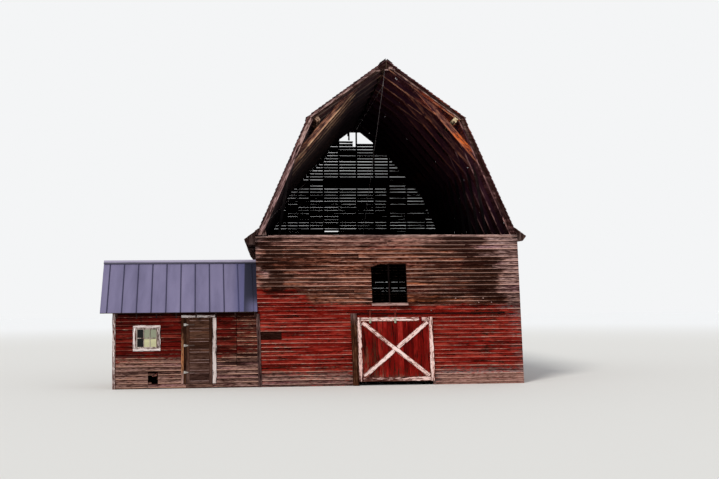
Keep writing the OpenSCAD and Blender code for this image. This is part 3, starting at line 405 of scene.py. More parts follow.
def make_camera():
    data = bpy.data.cameras.new("camera")
    data.sensor_width = SENSOR
    data.lens = FOCAL_PX / PHOTO_W * SENSOR
    data.clip_end = 400
    camera = bpy.data.objects.new("camera", data)
    bpy.context.scene.collection.objects.link(camera)
    turn = (Matrix.Rotation(-CAMERA_YAW, 4, "Z") @ Matrix.Rotation(math.pi / 2 + CAMERA_PITCH, 4, "X")
            @ Matrix.Rotation(-CAMERA_ROLL, 4, "Z"))
    camera.matrix_world = Matrix.Translation(CAMERA_AT + HERE) @ turn
    bpy.context.scene.camera = camera


def make_stage():
    world = bpy.data.worlds.new("studio")
    bpy.context.scene.world = world
    world.use_nodes = True
    sky = Nodes(world.node_tree)
    camera, glossy, through = (sky.node("LightPath", {}, f"Is {ray} Ray") for ray in
                               ("Camera", "Glossy", "Transmission"))
    seen = sky.math("MAXIMUM", sky.math("MAXIMUM", camera, glossy), through)
    soft = sky.node("Background", {"Color": (0.93, 0.96, 1.0), "Strength": 0.62})
    shown = sky.node("Background", {"Color": BACKDROP})
    sky.fill(sky.tree.nodes["World Output"], {"Surface": sky.node("MixShader", {0: seen, 1: soft, 2: shown})})

    sun = bpy.data.lights.new("key", "SUN")
    sun.energy = 2.1
    sun.angle = math.radians(14)
    sun.color = (1.0, 0.965, 0.91)
    key = bpy.data.objects.new("key", sun)
    key.rotation_euler = Vector((0.42, 0.66, -0.62)).to_track_quat("-Z", "Y").to_euler()
    bpy.context.scene.collection.objects.link(key)

    mesh = bpy.data.meshes.new("floor")
    mesh.from_pydata([(x * FLOOR_REACH, y * FLOOR_REACH, 0) for x, y in ((-1, -1), (1, -1), (1, 1), (-1, 1))],
                     [], [(0, 1, 2, 3)])
    floor = bpy.data.objects.new("floor", mesh)
    bpy.context.scene.collection.objects.link(floor)
    look = Finish("floor_paint")
    away = look.node("VectorMath", {0: look.place()}, "Value", operation="LENGTH")
    look.surface(look.mix((away * (1 / 90)).smooth(0.3, 1.0), FLOOR_TONE, BACKDROP), 0.9)
    mesh.materials.append(look.material)


# Meshes

class Boards:
    """Boards, shingles and timbers collected into one mesh, each with its own grain and tone."""

    def __init__(self, seed, warp=None):
        self.rng = np.random.default_rng(seed)
        self.warp, self.drift, self.count, self.faces = warp, 0.0, 0, []
        self.points, self.grain, self.tone, self.wear, self.rim = [], [], [], [], []

    def skip(self, n):
        """Passes over n random numbers, so that all that is drawn later stays as it is."""
        self.rng.random(n)

    def sweep(self, rings, grain, tone=None, wear=None, rim=None, inside=None):
        """A solid through rings of section points, wound so that along x across is outwards."""
        n, m = rings.shape[:2]
        flat = rings.reshape(-1, 3)
        if callable(wear):
            worn = wear(flat + (self.drift, 0, 0))
        else:
            worn = np.tile(np.array(wear or (0, 0, 0), float), (n * m, 1))
        if inside is not None:
            worn[:, 1] += np.tile(inside, n)
        self.wear.append(worn)
        self.points.append(self.warp(flat) if self.warp else flat)
        self.grain.append(grain.reshape(-1, 3) + self.rng.uniform(0, 40, 3))
        self.tone.append(np.full(n * m, self.rng.uniform(0, 1) if tone is None else tone))
        self.rim.append(np.full(n * m, 0.5) if rim is None else np.tile(rim, n))
        at = self.count + np.arange(n * m).reshape(n, m)
        beside = np.roll(at, -1, 1)
        self.faces += np.stack([at[:-1], beside[:-1], beside[1:], at[1:]], -1).reshape(-1, 4).tolist()
        self.faces += [at[0, ::-1].tolist(), at[-1].tolist()]
        self.count += n * m

    def board(self, start, along, across, length, width, thick, top_thick=None, skew=(0, 0), step=0.4, worn=0.003,
              chamfer=0.004, ragged=0.003, tone=None, wear=None, lift=0.0, rims=(1, 0), cove=False, inside=0.0):
        """A board from its back lower corner.

        top_thick is its thickness along the upper edge, and skew moves the upper corners of its two ends along
        it. worn and ragged are how uneven its edges and its ends are, and lift moves it outwards. rims are the
        values that its lower and upper edges carry, cove thins its head, and inside is painted shade, added to the
        stain along its back."""
        rng = self.rng
        start, along, across = Vector(start), Vector(along).normalized(), Vector(across).normalized()
        n = max(2, int(round(length / step)) + 1)
        top = thick if top_thick is None else top_thick
        c = min(chamfer, thick / 3, width / 4)
        if cove:
            head = [(width, 0.007), (width - 0.026, 0.0075), (width - 0.039, top)]
        else:
            head = [(width, max(top - c, top / 2)), (width - c, top)]
        section = np.array([(0, 0), (width, 0), *head, (c, thick), (0, thick - c)])
        low, high = (ripple(rng, n, worn, max(3, n // 2)) for _ in range(2))
        self.skip(2)
        share = section[:, 0] / width
        a = section[None, :, 0] + low[:, None] * (1 - share) + high[:, None] * share
        o = np.tile(section[:, 1] + lift, (n, 1))
        s = np.repeat(np.linspace(0, length, n)[:, None], len(section), 1)
        s[0] += skew[0] * share + rng.uniform(0, ragged, len(section))
        s[-1] += skew[1] * share - rng.uniform(0, ragged, len(section))
        ways = (s, along), (a, across), (o, along.cross(across))
        rings = sum((far[..., None] * np.array(way) for far, way in ways), np.array(start))
        rim = rims[0] + (rims[1] - rims[0]) * share
        self.sweep(rings, np.stack([s, a, o], -1), tone, wear, rim, inside * (section[:, 1] == 0))

    def timber(self, start, end, across, width, thick, **more):
        """A board along the line from start to end, with its width along across. It runs a little past the end."""
        start, end, across = Vector(start), Vector(end), Vector(across)
        along = (end - start).normalized()
        across = (across - along * along.dot(across)).normalized()
        start -= across * (width / 2)
        self.board(start, along, across, (end - start).length, width, thick, **more)

    def prism(self, corners, y0, y1, **more):
        """A slice of the XZ section between two depths; corners run anticlockwise seen from the front."""
        rings = np.array([[(x, y, z) for x, z in corners] for y in (y1, y0)], float)
        self.skip(len(corners))
        self.sweep(rings, rings[..., [2, 0, 1]], **more)

    def block(self, x0, x1, y0, y1, z0, z1, axis=0, **more):
        """An upright or level timber with straight sides; axis is the way its grain runs."""
        size = (x1 - x0, y1 - y0, z1 - z0)
        along, across = ((ACROSS, UP), (DEEP, UP), (UP, -ACROSS))[axis]
        out = along.cross(across)
        corner = [a if way > 0 else b for a, b, way in zip((x0, y0, z0), (x1, y1, z1), along + across + out)]
        width, thick = (abs(Vector(size).dot(way)) for way in (across, out))
        self.board(corner, along, across, size[axis], width, thick, **more)

    def build(self, name, material, slot, *nodes, body="building"):
        """Makes the piece. It rides on a body and takes the place of the CAD nodes that are named."""
        mesh = bpy.data.meshes.new(name)
        points = np.concatenate(self.points) + np.array(HERE)
        points[:, 2] = np.maximum(points[:, 2], 0)
        mesh.from_pydata(points.tolist(), [], self.faces)
        for key, kind, field in (("grain", "FLOAT_VECTOR", "vector"), ("wear", "FLOAT_VECTOR", "vector"),
                                 ("tone", "FLOAT", "value"), ("rim", "FLOAT", "value")):
            data = mesh.attributes.new(key, kind, "POINT").data
            data.foreach_set(field, np.concatenate(getattr(self, key)).astype(np.float32).ravel())
        mesh.materials.append(material)
        made = bpy.data.objects.new(name, mesh)
        bpy.context.scene.collection.objects.link(made)
        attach(made, body)
        if nodes:
            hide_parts(*nodes)


def stacked(paint, stain, grey):
    """Wear at each point, from arrays or single numbers."""
    return np.stack(np.broadcast_arrays(paint, stain, grey), -1)


def front_wear(points):
    """Paint, stain and greying of the front wall by place."""
    x, _, z = points.T
    top = 2.62 + 0.5 * ramp_down(x, -2.95, -2.85)
    edge = 3.2 + 0.2 * (4.7 - z)
    high = ramp_up(z, 2.5, 2.8)
    band = bump_at(x, 3.25, 0.24) * ramp_up(z, 0.5, 0.9) * ramp_down(z, 2.2, 2.6)
    foot = ramp_down(z, 0.3, 0.6) * ramp_up(x, 1.0, 1.6)
    # Red up to the top, thinner beyond the edge at the right, at the foot and in three worn places
    paint = 0.02 + 0.68 * ramp_down(z, top - 0.05, top + 0.04) - 0.24 * ramp_up(x, edge, edge + 0.3)
    paint -= 0.5 * ramp_down(z, 0.25, 0.75) + 0.2 * bump_at(z, 2.3, 0.1) * ramp_up(x, 2.0, 2.4)
    paint -= 0.22 * bump_at(z, 1.2, 0.3) * bump_at(x, -3.8, 0.7)
    paint -= 0.14 * band
    # Two dark runs at the left, a broad one in the middle of the right half, and a wash over the upper boards
    stain = 1.2 * bump_at(x, -3.88 + 0.12 * (z - 3.1), 0.2) + 0.12 * bump_at(x, -3.45 + 0.3 * (z - 3.6), 0.4)
    stain *= ramp_up(z, 2.9, 3.2)
    middle = 3.2 + 0.3 * np.maximum(3.35 - z, 0) - 0.9 * np.maximum(z - 3.9, 0)
    stain += 1.05 * bump_at(x, middle, 0.3 + 0.25 * ramp_up(z, 2.7, 3.9)) * high
    stain += 0.36 * high + 0.14 - 0.3 * ramp_up(z, 4.5, 4.7)
    stain += 0.42 * bump_at(z, 2.5, 0.16) * bump_at(x, 0.4, 1.3) + 0.16 * ramp_up(x, 0.4, 1.4) * high
    stain += 0.14 * ramp_down(z, 0.3, 0.7) - 0.3 * foot + 0.4 * band
    # Grey beyond the edge, along the foot and the top, and at the left corner
    grey = ramp_up(x, edge - 0.1, edge + 0.2) + 0.75 * ramp_down(z, 0.35, 0.6) + 0.55 * ramp_up(z, 4.35, 4.7)
    grey += 1.1 * bump_at(x, -4.2, 0.12) * ramp_up(z, 3.1, 3.5)
    grey = np.minimum(grey, 1.8) + 1.7 * foot
    stain *= 1 - 0.8 * np.clip(ramp_up(x, edge - 0.15, edge + 0.2) + bump_at(x, -4.22, 0.12), 0, 1)
    return stacked(paint, stain, grey)


def side_wear(points):
    """The long and rear walls: some red low down, bare and streaked above."""
    run, z = points[:, 0] + points[:, 1], points[:, 2]
    edge = 2.65 + 0.3 * np.sin(1.1 * run + 0.6) + 0.18 * np.sin(2.7 * run) + 0.1 * np.sin(7.1 * run)
    paint = 0.62 - 0.42 * ramp_up(z, edge - 0.5, edge + 0.5) - 0.4 * ramp_down(z, 0.25, 0.6)
    return stacked(paint + 0.08 * np.sin(0.9 * run),
                   0.24 + 0.22 * ramp_up(z, 3.0, 4.5) + 0.16 * np.sin(1.7 * run + 2),
                   0.35 + 0.4 * ramp_down(z, 0.2, 0.6) + 0.15 * np.sin(0.7 * run + 1))


def shed_wear(points):
    """The shed: dark red under the eaves, brown and grey below; above 2.24 m a painted shadow darkens it."""
    x, _, z = points.T
    low = ramp_down(z, 0.75, 1.15)
    paint = 0.72 - 0.56 * low - 0.25 * ramp_up(x, -5.2, -4.6)
    paint += 0.42 * bump_at(z, 0.5, 0.06) * bump_at(x, -6.85, 0.28)
    # The stain above 2.24 m is a painted shadow under the eaves
    stain = 0.22 + 0.3 * ramp_up(x, -5.5, -5.2) * ramp_up(z, 0.3, 0.9) + 0.9 * ramp_up(z, 2.24, 2.32) + 0.06 * low
    return stacked(paint, stain, 0.55 * low)


def lengths(rng, a, b, shortest, longest, rest, unit=1.0):
    """Splits the run from a to b into random lengths, with nothing shorter than rest at its end."""
    left = a
    while left < b - 0.01:
        right = min(b, left + rng.uniform(shortest, longest) * unit)
        if b - right < rest:
            right = b
        yield left, right
        left = right


def courses(boards, origin, along, span, z1, wear, holes=(), longest=4.2, phase=COURSE, joint=0.003):
    """Courses of lapped siding up a wall to z1. span(z) gives the wall's two ends at height z, along it.

    holes are (from, to, low, high) cut out of the boards; phase is the height of the lowest course; joint is the
    gap at the boards' ends."""
    rng = boards.rng
    origin = Vector(origin)
    for row in range(int(math.ceil((z1 - phase - 0.02) / COURSE)) + 1):
        foot = phase + (row - 1) * COURSE
        top = min(foot + COURSE, z1)
        first, last = span(foot)
        cuts = sorted({first, last, *(h[i] for h in holes for i in (0, 1)
                                      if h[2] < top and h[3] > foot and first < h[i] < last)})
        for a, b in zip(cuts, cuts[1:]):
            low, high = max(foot, 0), top
            for x0, x1, sill, head in holes:
                if x0 <= a and x1 >= b and sill < high and head > low:
                    low, high = (low, sill) if sill > low else (head, high)
            if high - low < 0.012:
                continue
            ends = span(high)
            lower, upper = (low - foot) / COURSE, (high - foot) / COURSE
            lap = 0.012 if upper > 0.99 and high < z1 - 0.02 else 0.002
            for left, right in lengths(rng, a, b, 0.55, 1.0, 0.5, longest):
                skew = (ends[0] - first if left == first else 0, ends[1] - last if right == last else 0)
                boards.drift = rng.normal(0, 0.2)
                boards.board(origin + along * left + UP * low, along, UP, right - left - joint, high - low + lap,
                             SIDING_T * (1 - 0.2 * lower), SIDING_T * (1 - 0.2 * upper), skew, step=0.3, worn=joint,
                             chamfer=0.003, ragged=joint, lift=-rng.uniform(0, 0.0025), wear=wear,
                             rims=(1 - lower, 1 - upper), cove=upper > 0.99, inside=SHADE_BLACK)


def between(low, high):
    return lambda z: (low, high)


def stud_run(studs, a, b, y0, y1, top, pitch, blocked=()):
    """A sill from a to b with studs on it, but for those that would stand in a blocked stretch."""
    studs.block(a, b, y0, y1, 0, SILL_H)
    for x in np.linspace(a, b - STUD_T, int(round((b - a) / pitch)) + 1):
        if not any(low < x < high for low, high in blocked):
            studs.block(x, x + STUD_T, y0, y1, SILL_H, top - PLATE_H, 2)


def window_rails(studs, window, y1):
    """The level timbers under and over a window."""
    x0, x1, z0, z1 = window
    for z in (z0 - STUD_T, z1):
        studs.block(x0, x1, SIDING_T, y1, z, z + STUD_T)


# Colours: dark, middle and light wood, and deep, middle and faded paint

BARE_BROWN = tones((37, 13, 7), (90, 47, 34), (160, 107, 88))
BARE_DARK = tones((10, 6, 6), (28, 18, 18), (66, 46, 42))
BARE_BARGE = tones((56, 32, 28), (118, 88, 80), (184, 154, 144))
BARE_POST = tones((30, 13, 7), (66, 36, 22), (112, 80, 62))
RED_PAINT = tones((58, 4, 3), (116, 20, 13), (172, 64, 51))
SHED_PAINT = tones((42, 4, 3), (88, 14, 9), (124, 46, 36))
GREY_PAINT = tones((164, 148, 144), (208, 194, 191), (246, 238, 236))
DOOR_PAINT = tones((56, 4, 4), (112, 16, 12), (166, 44, 38))
WHITE_PAINT = tones((196, 140, 130), (232, 196, 188), (247, 228, 224))
PALE_LIP = srgb(214, 170, 154)


# Barn walls: siding board by board, and the frame behind it

FRONT_PHASE, SHED_PHASE = 0.071, 0.035
PATCH = (-4.267, -3.53, 1.501, 1.761)
REAR_SLITS = ((0.78, 1.18, 3.51, 0.017), (1.18, 1.34, 3.51, 0.024), (1.5, 1.86, 3.51, 0.017),
              (1.86, 2.1, 3.51, 0.0145), (0.68, 1.36, 3.25, 0.017), (1.5, 2.12, 3.25, 0.0175),
              (1.05, 1.36, 3.12, 0.0145), (1.5, 2.12, 3.12, 0.0155))


def make_barn_walls():
    siding = wood("siding_boards", BARE_BROWN, RED_PAINT, rim=PALE_LIP)
    wx0, wx1, wz0, wz1 = WINDOW
    front = Boards(11, lean)
    courses(front, (0, SIDING_T, 0), ACROSS, between(-HALF_W, HALF_W), WALL_H - CAP_T, front_wear,
            [(DOOR_X0, DOOR_X1, -1, DOOR_Z1), WINDOW, PATCH], longest=4.6, phase=FRONT_PHASE)
    for z in (PATCH[2], PATCH[2] + COURSE):
        front.board((PATCH[0], SIDING_T, z), ACROSS, UP, PATCH[1] - PATCH[0] - 0.004, COURSE, 0.012, worn=0.004,
                    wear=(0, 1.1, 0.2), tone=0.1, rims=(0.7, 0.3))
    front.prism([(wx0, wz1 - 0.085), (wx0 + 0.3, wz1), (wx0, wz1)], 0, SIDING_T, wear=(0.1, 0.4, 0.2))
    front.build("front_siding", siding, "siding_red", "front_wall_left", "front_wall_middle", "front_wall_right")

    for name, side, seed in (("left", -1, 12), ("right", 1, 13)):
        wall = Boards(seed, lean)
        courses(wall, (side * (HALF_W - SIDING_T), 0, 0), DEEP * side,
                between(*sorted((side * SIDING_T, side * (BARN_L - SIDING_T)))), WALL_H - 0.003, side_wear,
                longest=4.8)
        wall.build(name + "_siding", siding, "siding_red", name + "_wall")

    rear = Boards(14, lean)
    courses(rear, (0, BARN_L - SIDING_T, 0), -ACROSS, between(-HALF_W, HALF_W), WALL_H, side_wear,
            [(-x1, -x0, z, z + high) for x0, x1, z, high in REAR_SLITS], longest=4.4, joint=0.0003)
    rear.build("rear_siding", siding, "siding_red", "rear_wall")

    studs = Boards(15, lean)
    outer, inner, head = HALF_W - SIDING_T, HALF_W - WALL_T, WALL_H - CAP_T
    for y0, y1, top, runs in ((SIDING_T, WALL_T, head, ((-outer, DOOR_X0), (DOOR_X1, outer))),
                              (BARN_L - WALL_T, BARN_L - SIDING_T, WALL_H, ((-outer, outer),))):
        for a, b in runs:
            stud_run(studs, a, b, y0, y1, top, STUD_PITCH)
        studs.block(-outer, outer, y0, y1, top - PLATE_H, top)
    studs.block(DOOR_X0, DOOR_X1, SIDING_T, WALL_T, DOOR_Z1, DOOR_Z1 + SILL_H)
    for x in (DOOR_X0, wx0 - STUD_T, (wx0 + wx1 - STUD_T) / 2, wx1, DOOR_X1 - STUD_T):
        studs.block(x, x + STUD_T, SIDING_T, WALL_T, DOOR_Z1 + SILL_H, head - PLATE_H, 2, tone=0.0)
    window_rails(studs, WINDOW, WALL_T)
    for x0, x1 in ((-outer, -inner), (inner, outer)):
        studs.block(x0, x1, WALL_T, BARN_L - WALL_T, 0, SILL_H, 1)
        studs.block(x0, x1, WALL_T, BARN_L - WALL_T, WALL_H - PLATE_H, WALL_H - 0.004, 1)
        for y in np.linspace(WALL_T, BARN_L - WALL_T - STUD_T, 20):
            studs.block(x0, x1, y, y + STUD_T, SILL_H, WALL_H - PLATE_H, 2)
    studs.build("wall_framing", wood("framing_wood", BARE_DARK), "timber_dark")

    trim = Boards(16, lean)
    for x0, x1, drop in ((-HALF_W, -3.86, 0.03), (-3.86, -0.9, 0), (-0.9, 2.1, 0), (2.1, HALF_W, 0)):
        trim.block(x0, x1, -0.018, WALL_T, head, WALL_H - drop, step=0.12, worn=0.004, ragged=0.01,
                   wear=(0, 0.1, 0.9), tone=0.85)
    trim.block(wx0 - 0.02, wx1 + 0.02, -0.024, 0, wz0 - 0.08, wz0, step=0.1, worn=0.004, wear=(0, 0, 1), tone=1.0)
    trim.block(-HALF_W - 0.05, -HALF_W + 0.064, -0.02, 0, 0, 2.33, 2, step=0.2, worn=0.004, wear=(0, 0.32, 1.1),
               tone=0.0)
    for x, z in ((2.12, 2.75), (3.02, 2.75), (2.87, 2.61), (3.29, 2.61), (1.3, 2.36), (0.11, 2.32)):
        trim.block(x, x + 0.035, -0.016, 0.004, z, z + 0.035, worn=0.002, wear=(0, 0, 0.8), tone=0.6)
    trim.build("front_trim_boards", wood("cap_wood", BARE_BARGE), "timber_bare", "front_trim")


# Rear gable: boards on studs, with daylight between them

REAR_STUDS = (-3.7, -3.01, -2.53, -2.03, -1.41, -0.735, 0.05, 0.82, 1.47, 2.25, 3.07, 3.7)
SLAT_PITCH, SLAT_FROM, SLAT_ROWS, SHUT_BOARDS = 0.1341, 5.746, 29, 7
SHUT_ROWS, THIN_ROWS, TIGHT_ROWS = (0, 15, 16), (9, 12), (4, 5, 6, 7, 8)
SHUT_PLACES = ((0.82, 1.47, 6.3, 6.75), (-0.735, 0.05, 8.9, 9.05), (-2.6, 4.0, 6.37, 6.47), (-1.5, 4.0, 8.0, 8.1),
               (-0.4, 0.9, 8.38, 8.47))
BROKEN = (-0.1, 0.028, 9.4)
PEAK_X, PEAK_Z, UNDER = -0.69, 10.13, ROOF_T + 0.002


def slat_rows(rng):
    """Each row's lower and upper height, the width of its slits, how many are shut, and where they end."""
    ground = (SLAT_FROM - WALL_H) / SHUT_BOARDS
    for i in range(SHUT_BOARDS):
        yield WALL_H + i * ground, WALL_H + (i + 1) * ground + 0.001, 0.0, 0.0, 0.0, 0.0
    for i in range(SLAT_ROWS):
        z = SLAT_FROM + i * SLAT_PITCH
        wide = 0.004 if i in THIN_ROWS else (0.007 + 0.006 * float(ramp_up(z, 7.8, 8.3))) * rng.uniform(0.8, 1.2)
        wide *= 0.6 if i in TIGHT_ROWS else 1
        shut = 0.8 if i in SHUT_ROWS else 0.4 if i in TIGHT_ROWS else 0.07
        left = -min(section_x(z, INNER), 1.28 + (1.05 if z < 8.98 else 0.38) * (8.98 - z))
        right = min(section_x(z, INNER), 1.4 + 0.83 * (9.11 - z) if z < 9.11 else 0.83)
        yield z, z + SLAT_PITCH, wide, shut, left, right


def make_rear_gable():
    gable = Boards(21)
    rng = gable.rng
    y0, y1 = BARN_L - SIDING_T, BARN_L
    for z0, z1, wide, shut, left, right in list(slat_rows(rng)):
        low_end, high_end = section_x(z0, UNDER), section_x(z1, UNDER)
        inner = [left, *(x for x in REAR_STUDS if left + 0.05 < x < right - 0.05), right]
        stops = [-low_end, *(inner if wide else REAR_STUDS[2:-2:3]), low_end]
        if z1 > BROKEN[2]:
            stops = sorted([*stops, *BROKEN[:2]])
        gaps = []
        for a, b in zip(stops, stops[1:]):
            x, z = (a + b) / 2, (z0 + z1) / 2
            closed = x < left or x > right or rng.uniform() < shut or any(
                x0 < x < x1 and low < z < high for x0, x1, low, high in SHUT_PLACES)
            gaps.append(0.0 if closed else wide if rng.uniform() < 0.72 else rng.uniform(0.35, 1.3) * wide)
        if z0 == SLAT_FROM:
            gaps = [0.038 if a == -1.41 else 0.0 for a in stops[:-1]]
        k = 0
        while k < len(gaps):
            i, k = k, k + 1
            while (k < len(gaps) and gaps[k] == gaps[i] and stops[k + 1] - stops[i] < 4.2
                   and stops[k] not in BROKEN):
                k += 1
            a, b, gap = stops[i], stops[k], gaps[i]
            if a >= BROKEN[0] and b <= BROKEN[1] and z0 > BROKEN[2]:
                continue
            taper = low_end - high_end
            low = z0 + gap + (rng.normal(0, 0.0015) if gap else 0)
            gable.board((b, y0, low), -ACROSS, UP + ACROSS * rng.normal(0, 0.0006), b - a - 0.001, z1 - low,
                        SIDING_T, skew=(taper if k == len(gaps) else 0, -taper if i == 0 else 0), step=0.25,
                        worn=0.0015, ragged=0.001, lift=rng.uniform(-0.004, 0), wear=(0, 0.15, 0.75), inside=SHADE_BLACK)
    # The studs and the post behind the gable boards are stained black as painted shade inside the barn
    for x in REAR_STUDS:
        far = abs(x) + 0.03
        top = upper_z(far, ROOF_T) if abs(x) < KINK_X - 0.1 else WALL_H + (
            lower_x(WALL_H, ROOF_T) - far) * math.tan(LOWER)
        gable.block(x - 0.034, x + 0.034, y0 - 0.09, y0, WALL_H, min(top, 10.3), 2, step=0.8, worn=0.002,
                    wear=(0, SHADE_BLACK, 0))
    gable.block(1.34, 1.52, y0 - 0.045, y0 - 0.0005, WALL_H, 7.7, 2, step=0.6, worn=0.006, wear=(0, SHADE_BLACK, 0))

    top, peak = SLAT_FROM + SLAT_ROWS * SLAT_PITCH, section_x(PEAK_Z, UNDER)
    eave, shoulder = section_x(top, UNDER), (PEAK_X, upper_z(-PEAK_X, UNDER))
    # Pieces at the peak, stained dark all over as painted shade for their faces inside the barn
    for corners in ([(-eave, top), (PEAK_X, top), shoulder],
                    [(PEAK_X, top + 0.03), (-0.11, top + 0.02), (-0.085, top + 0.11), (PEAK_X, top + 0.115)],
                    [(-0.31, 9.79), (-0.235, 9.785), (-0.24, 10.14), (-0.335, 10.14), (-0.345, 9.98), (-0.3, 9.96)],
                    [(-peak, PEAK_Z), (peak, PEAK_Z), (0, upper_z(0, UNDER))],
                    [(PEAK_X, 9.85), (-0.28, PEAK_Z), (-peak, PEAK_Z), shoulder],
                    [(0.84, top), (eave, top), (peak, PEAK_Z), (0.22, PEAK_Z)]):
        gable.prism(corners, y0, y1, wear=(0, 1.4, 0.3))
    gable.build("rear_gable_boards", wood("gable_boards", tones((26, 14, 12), (70, 46, 40), (132, 98, 88))),
                "timber_dark", "rear_gable")


# Roof: spaced boards over the rafters, wood shingles on top

SHEATH_T, SHINGLE_REACH, LOST = 0.019, 0.14, 0.022
ROOF_HOLES = ((0.27, 1.66, 0.075), (0.54, 1.10, 0.06), (0.09, 6.75, 0.05), (-0.08, 7.35, 0.05), (-0.1, 8.6, 0.05),
              (0.26, 10.2, 0.05), (0.2, 11.5, 0.05))
CAP_RUNS = ((ROOF_Y0, 2.9), (2.92, 5.6), (5.64, 6.55), (6.9, 7.2), (7.5, 9.0), (9.03, ROOF_Y1))


class Slope:
    """A face of the roof, between its lower and its upper edge at a depth d below the outer surface."""

    def __init__(self, side, upper):
        self.side, self.upper = side, upper
        self.name = ("upper" if upper else "lower") + ("_right" if side > 0 else "_left")
        angle = UPPER if upper else LOWER
        self.up = at(-side, math.cos(angle), math.sin(angle))

    def foot(self, d):
        return kink_at(d, self.side) if self.upper else at(self.side, lower_x(WALL_H, d), WALL_H)

    def length(self, d):
        head = at(1, 0, upper_z(0, d)) if self.upper else kink_at(d, self.side)
        return (head - self.foot(d)).length


def make_roof():
    # The sheathing carries painted shade and a painted pool of light inside the barn
    under = wood("sheathing_wood", tones((28, 15, 22), (72, 44, 54), (142, 98, 102)),
                 shade=(0.2, 0.7, *tones((54, 45, 51), (84, 35, 38))), glow=(8.8, 1.0, 2.8, srgb(150, 64, 44)))
    shingle = wood("shingle_wood", tones((24, 16, 16), (66, 50, 47), (122, 102, 97)), contrast=0.8)
    deck = Boards(31)
    for side in (-1, 1):
        for upper in (False, True):
            slope = Slope(side, upper)
            lay_sheathing(deck, slope)
            cover = Boards(40 + len(slope.name) + side)
            lay_shingles(cover, slope)
            cover.build("shingles_" + slope.name, shingle, "shingles", "roof_" + slope.name)
    deck.build("roof_sheathing", under, "timber_dark")

    cap = Boards(51)
    for side in (-1, 1):
        down = at(side, math.cos(UPPER), -math.sin(UPPER))
        for a, b in CAP_RUNS:
            width = (0.27 if a == ROOF_Y0 else 0.19) - cap.rng.uniform(0, 0.02)
            foot = at(1, 0, upper_z(0, -0.0004)) + down * width
            foot.y = a if side > 0 else b
            cap.board(foot, DEEP * side, -down, b - a, width - (0.016 if side > 0 else 0), 0.022, step=0.3,
                      worn=0.006, ragged=0.03, wear=(0, 0.45, 0.3))
    cap.build("ridge_cap_boards", wood("ridge_wood", BARE_DARK), "timber_dark", "ridge_cap")


def lay_sheathing(deck, slope):
    """Boards of random widths and lengths along one slope, cut where the roof has holes."""
    rng, side = deck.rng, slope.side
    inner = ROOF_T - NEAR
    length = slope.length(inner)
    q = 0.0
    while q < length - 0.03:
        width = min(rng.uniform(0.13, 0.2), length - q)
        base = slope.foot(inner) + slope.up * q
        breaks = [ROOF_Y0, ROOF_Y1]
        if slope.upper:
            middle = base + slope.up * width / 2
            for x, y, reach in ROOF_HOLES:
                if abs(x - middle.x) < width * 0.62:
                    breaks += [y - reach, y + reach]
        breaks.sort()
        for a, b in zip(breaks[::2], breaks[1::2]):
            for left, right in lengths(rng, a, b, 2.6, 4.4, 0.9):
                front, rear = left + rng.uniform(0, 0.004), right - 0.004
                base.y = front if side > 0 else rear
                deck.board(base, DEEP * side, slope.up, rear - front, width - rng.uniform(0.003, 0.008), SHEATH_T,
                           step=0.6, ragged=0.004, wear=(0, 0.25, 0.1))
        q += width


def add_shingle(boards, base, up, out, side, section, front, rear, wear):
    """A shingle from its section, which is given as distances up the slope and out of it."""
    ends = (front, rear) if side > 0 else (rear, front)
    rings = np.array([[np.array(base + up * a + out * o) + (0, y, 0) for a, o in section] for y in ends])
    boards.sweep(rings, np.array([[(a, y, o) for a, o in section] for y in ends]), wear=wear)


def lay_shingles(cover, slope):
    """Courses of shingles up one slope, each with its own width, butt and lift; a few have blown away."""
    rng = cover.rng
    base_d = ROOF_T - SHEATH_T - 0.0006
    base, length = slope.foot(base_d), slope.length(base_d)
    rows = int(length / SHINGLE_REACH)
    pitch = length / rows
    out = (DEEP * slope.side).cross(slope.up)
    for row in range(rows):
        y = ROOF_Y0
        while y < ROOF_Y1 - 0.02:
            width = min(rng.uniform(0.08, 0.2), ROOF_Y1 - y)
            butt = row * pitch - rng.uniform(0, 0.018) * (row > 0)
            if row == 0 and slope.upper:
                butt = -rng.uniform(0.06, 0.1)
            head = min((row + 1) * pitch + 0.02, length)
            lift = rng.uniform(0, 0.006)
            if y < ROOF_Y0 + 0.3 or y > ROOF_Y1 - 0.3:
                lift += rng.uniform(0, 0.012)
            middle = base + slope.up * (butt + pitch / 2)
            lost = rng.uniform() < LOST or slope.upper and any(
                math.hypot(hx - middle.x, hy - y - width / 2) < reach + 0.09 for hx, hy, reach in ROOF_HOLES)
            if not lost:
                section = [(butt, 0.008 + lift), (head, 0.0), (head, 0.005), (butt, 0.021 + lift)]
                front = y + 0.001 + (rng.uniform(0, 0.03) if y == ROOF_Y0 else 0)
                rear = y + width - rng.uniform(0.002, 0.007)
                add_shingle(cover, base, slope.up, out, slope.side, section, front, rear,
                            (0, 0.02 + 0.4 * (rng.uniform() < 0.2), 0.55))
            y += width


# Eave flares

FLARES = ((-1, 0.6, math.radians(38)), (1, 0.49, math.radians(37)))
FLARE_Z, FLARE_T, FLARE_DROP, FLARE_ROWS, END_T, FLARE_BOARD_T = 5.07, 0.2, 0.034, 4, 0.025, 0.018


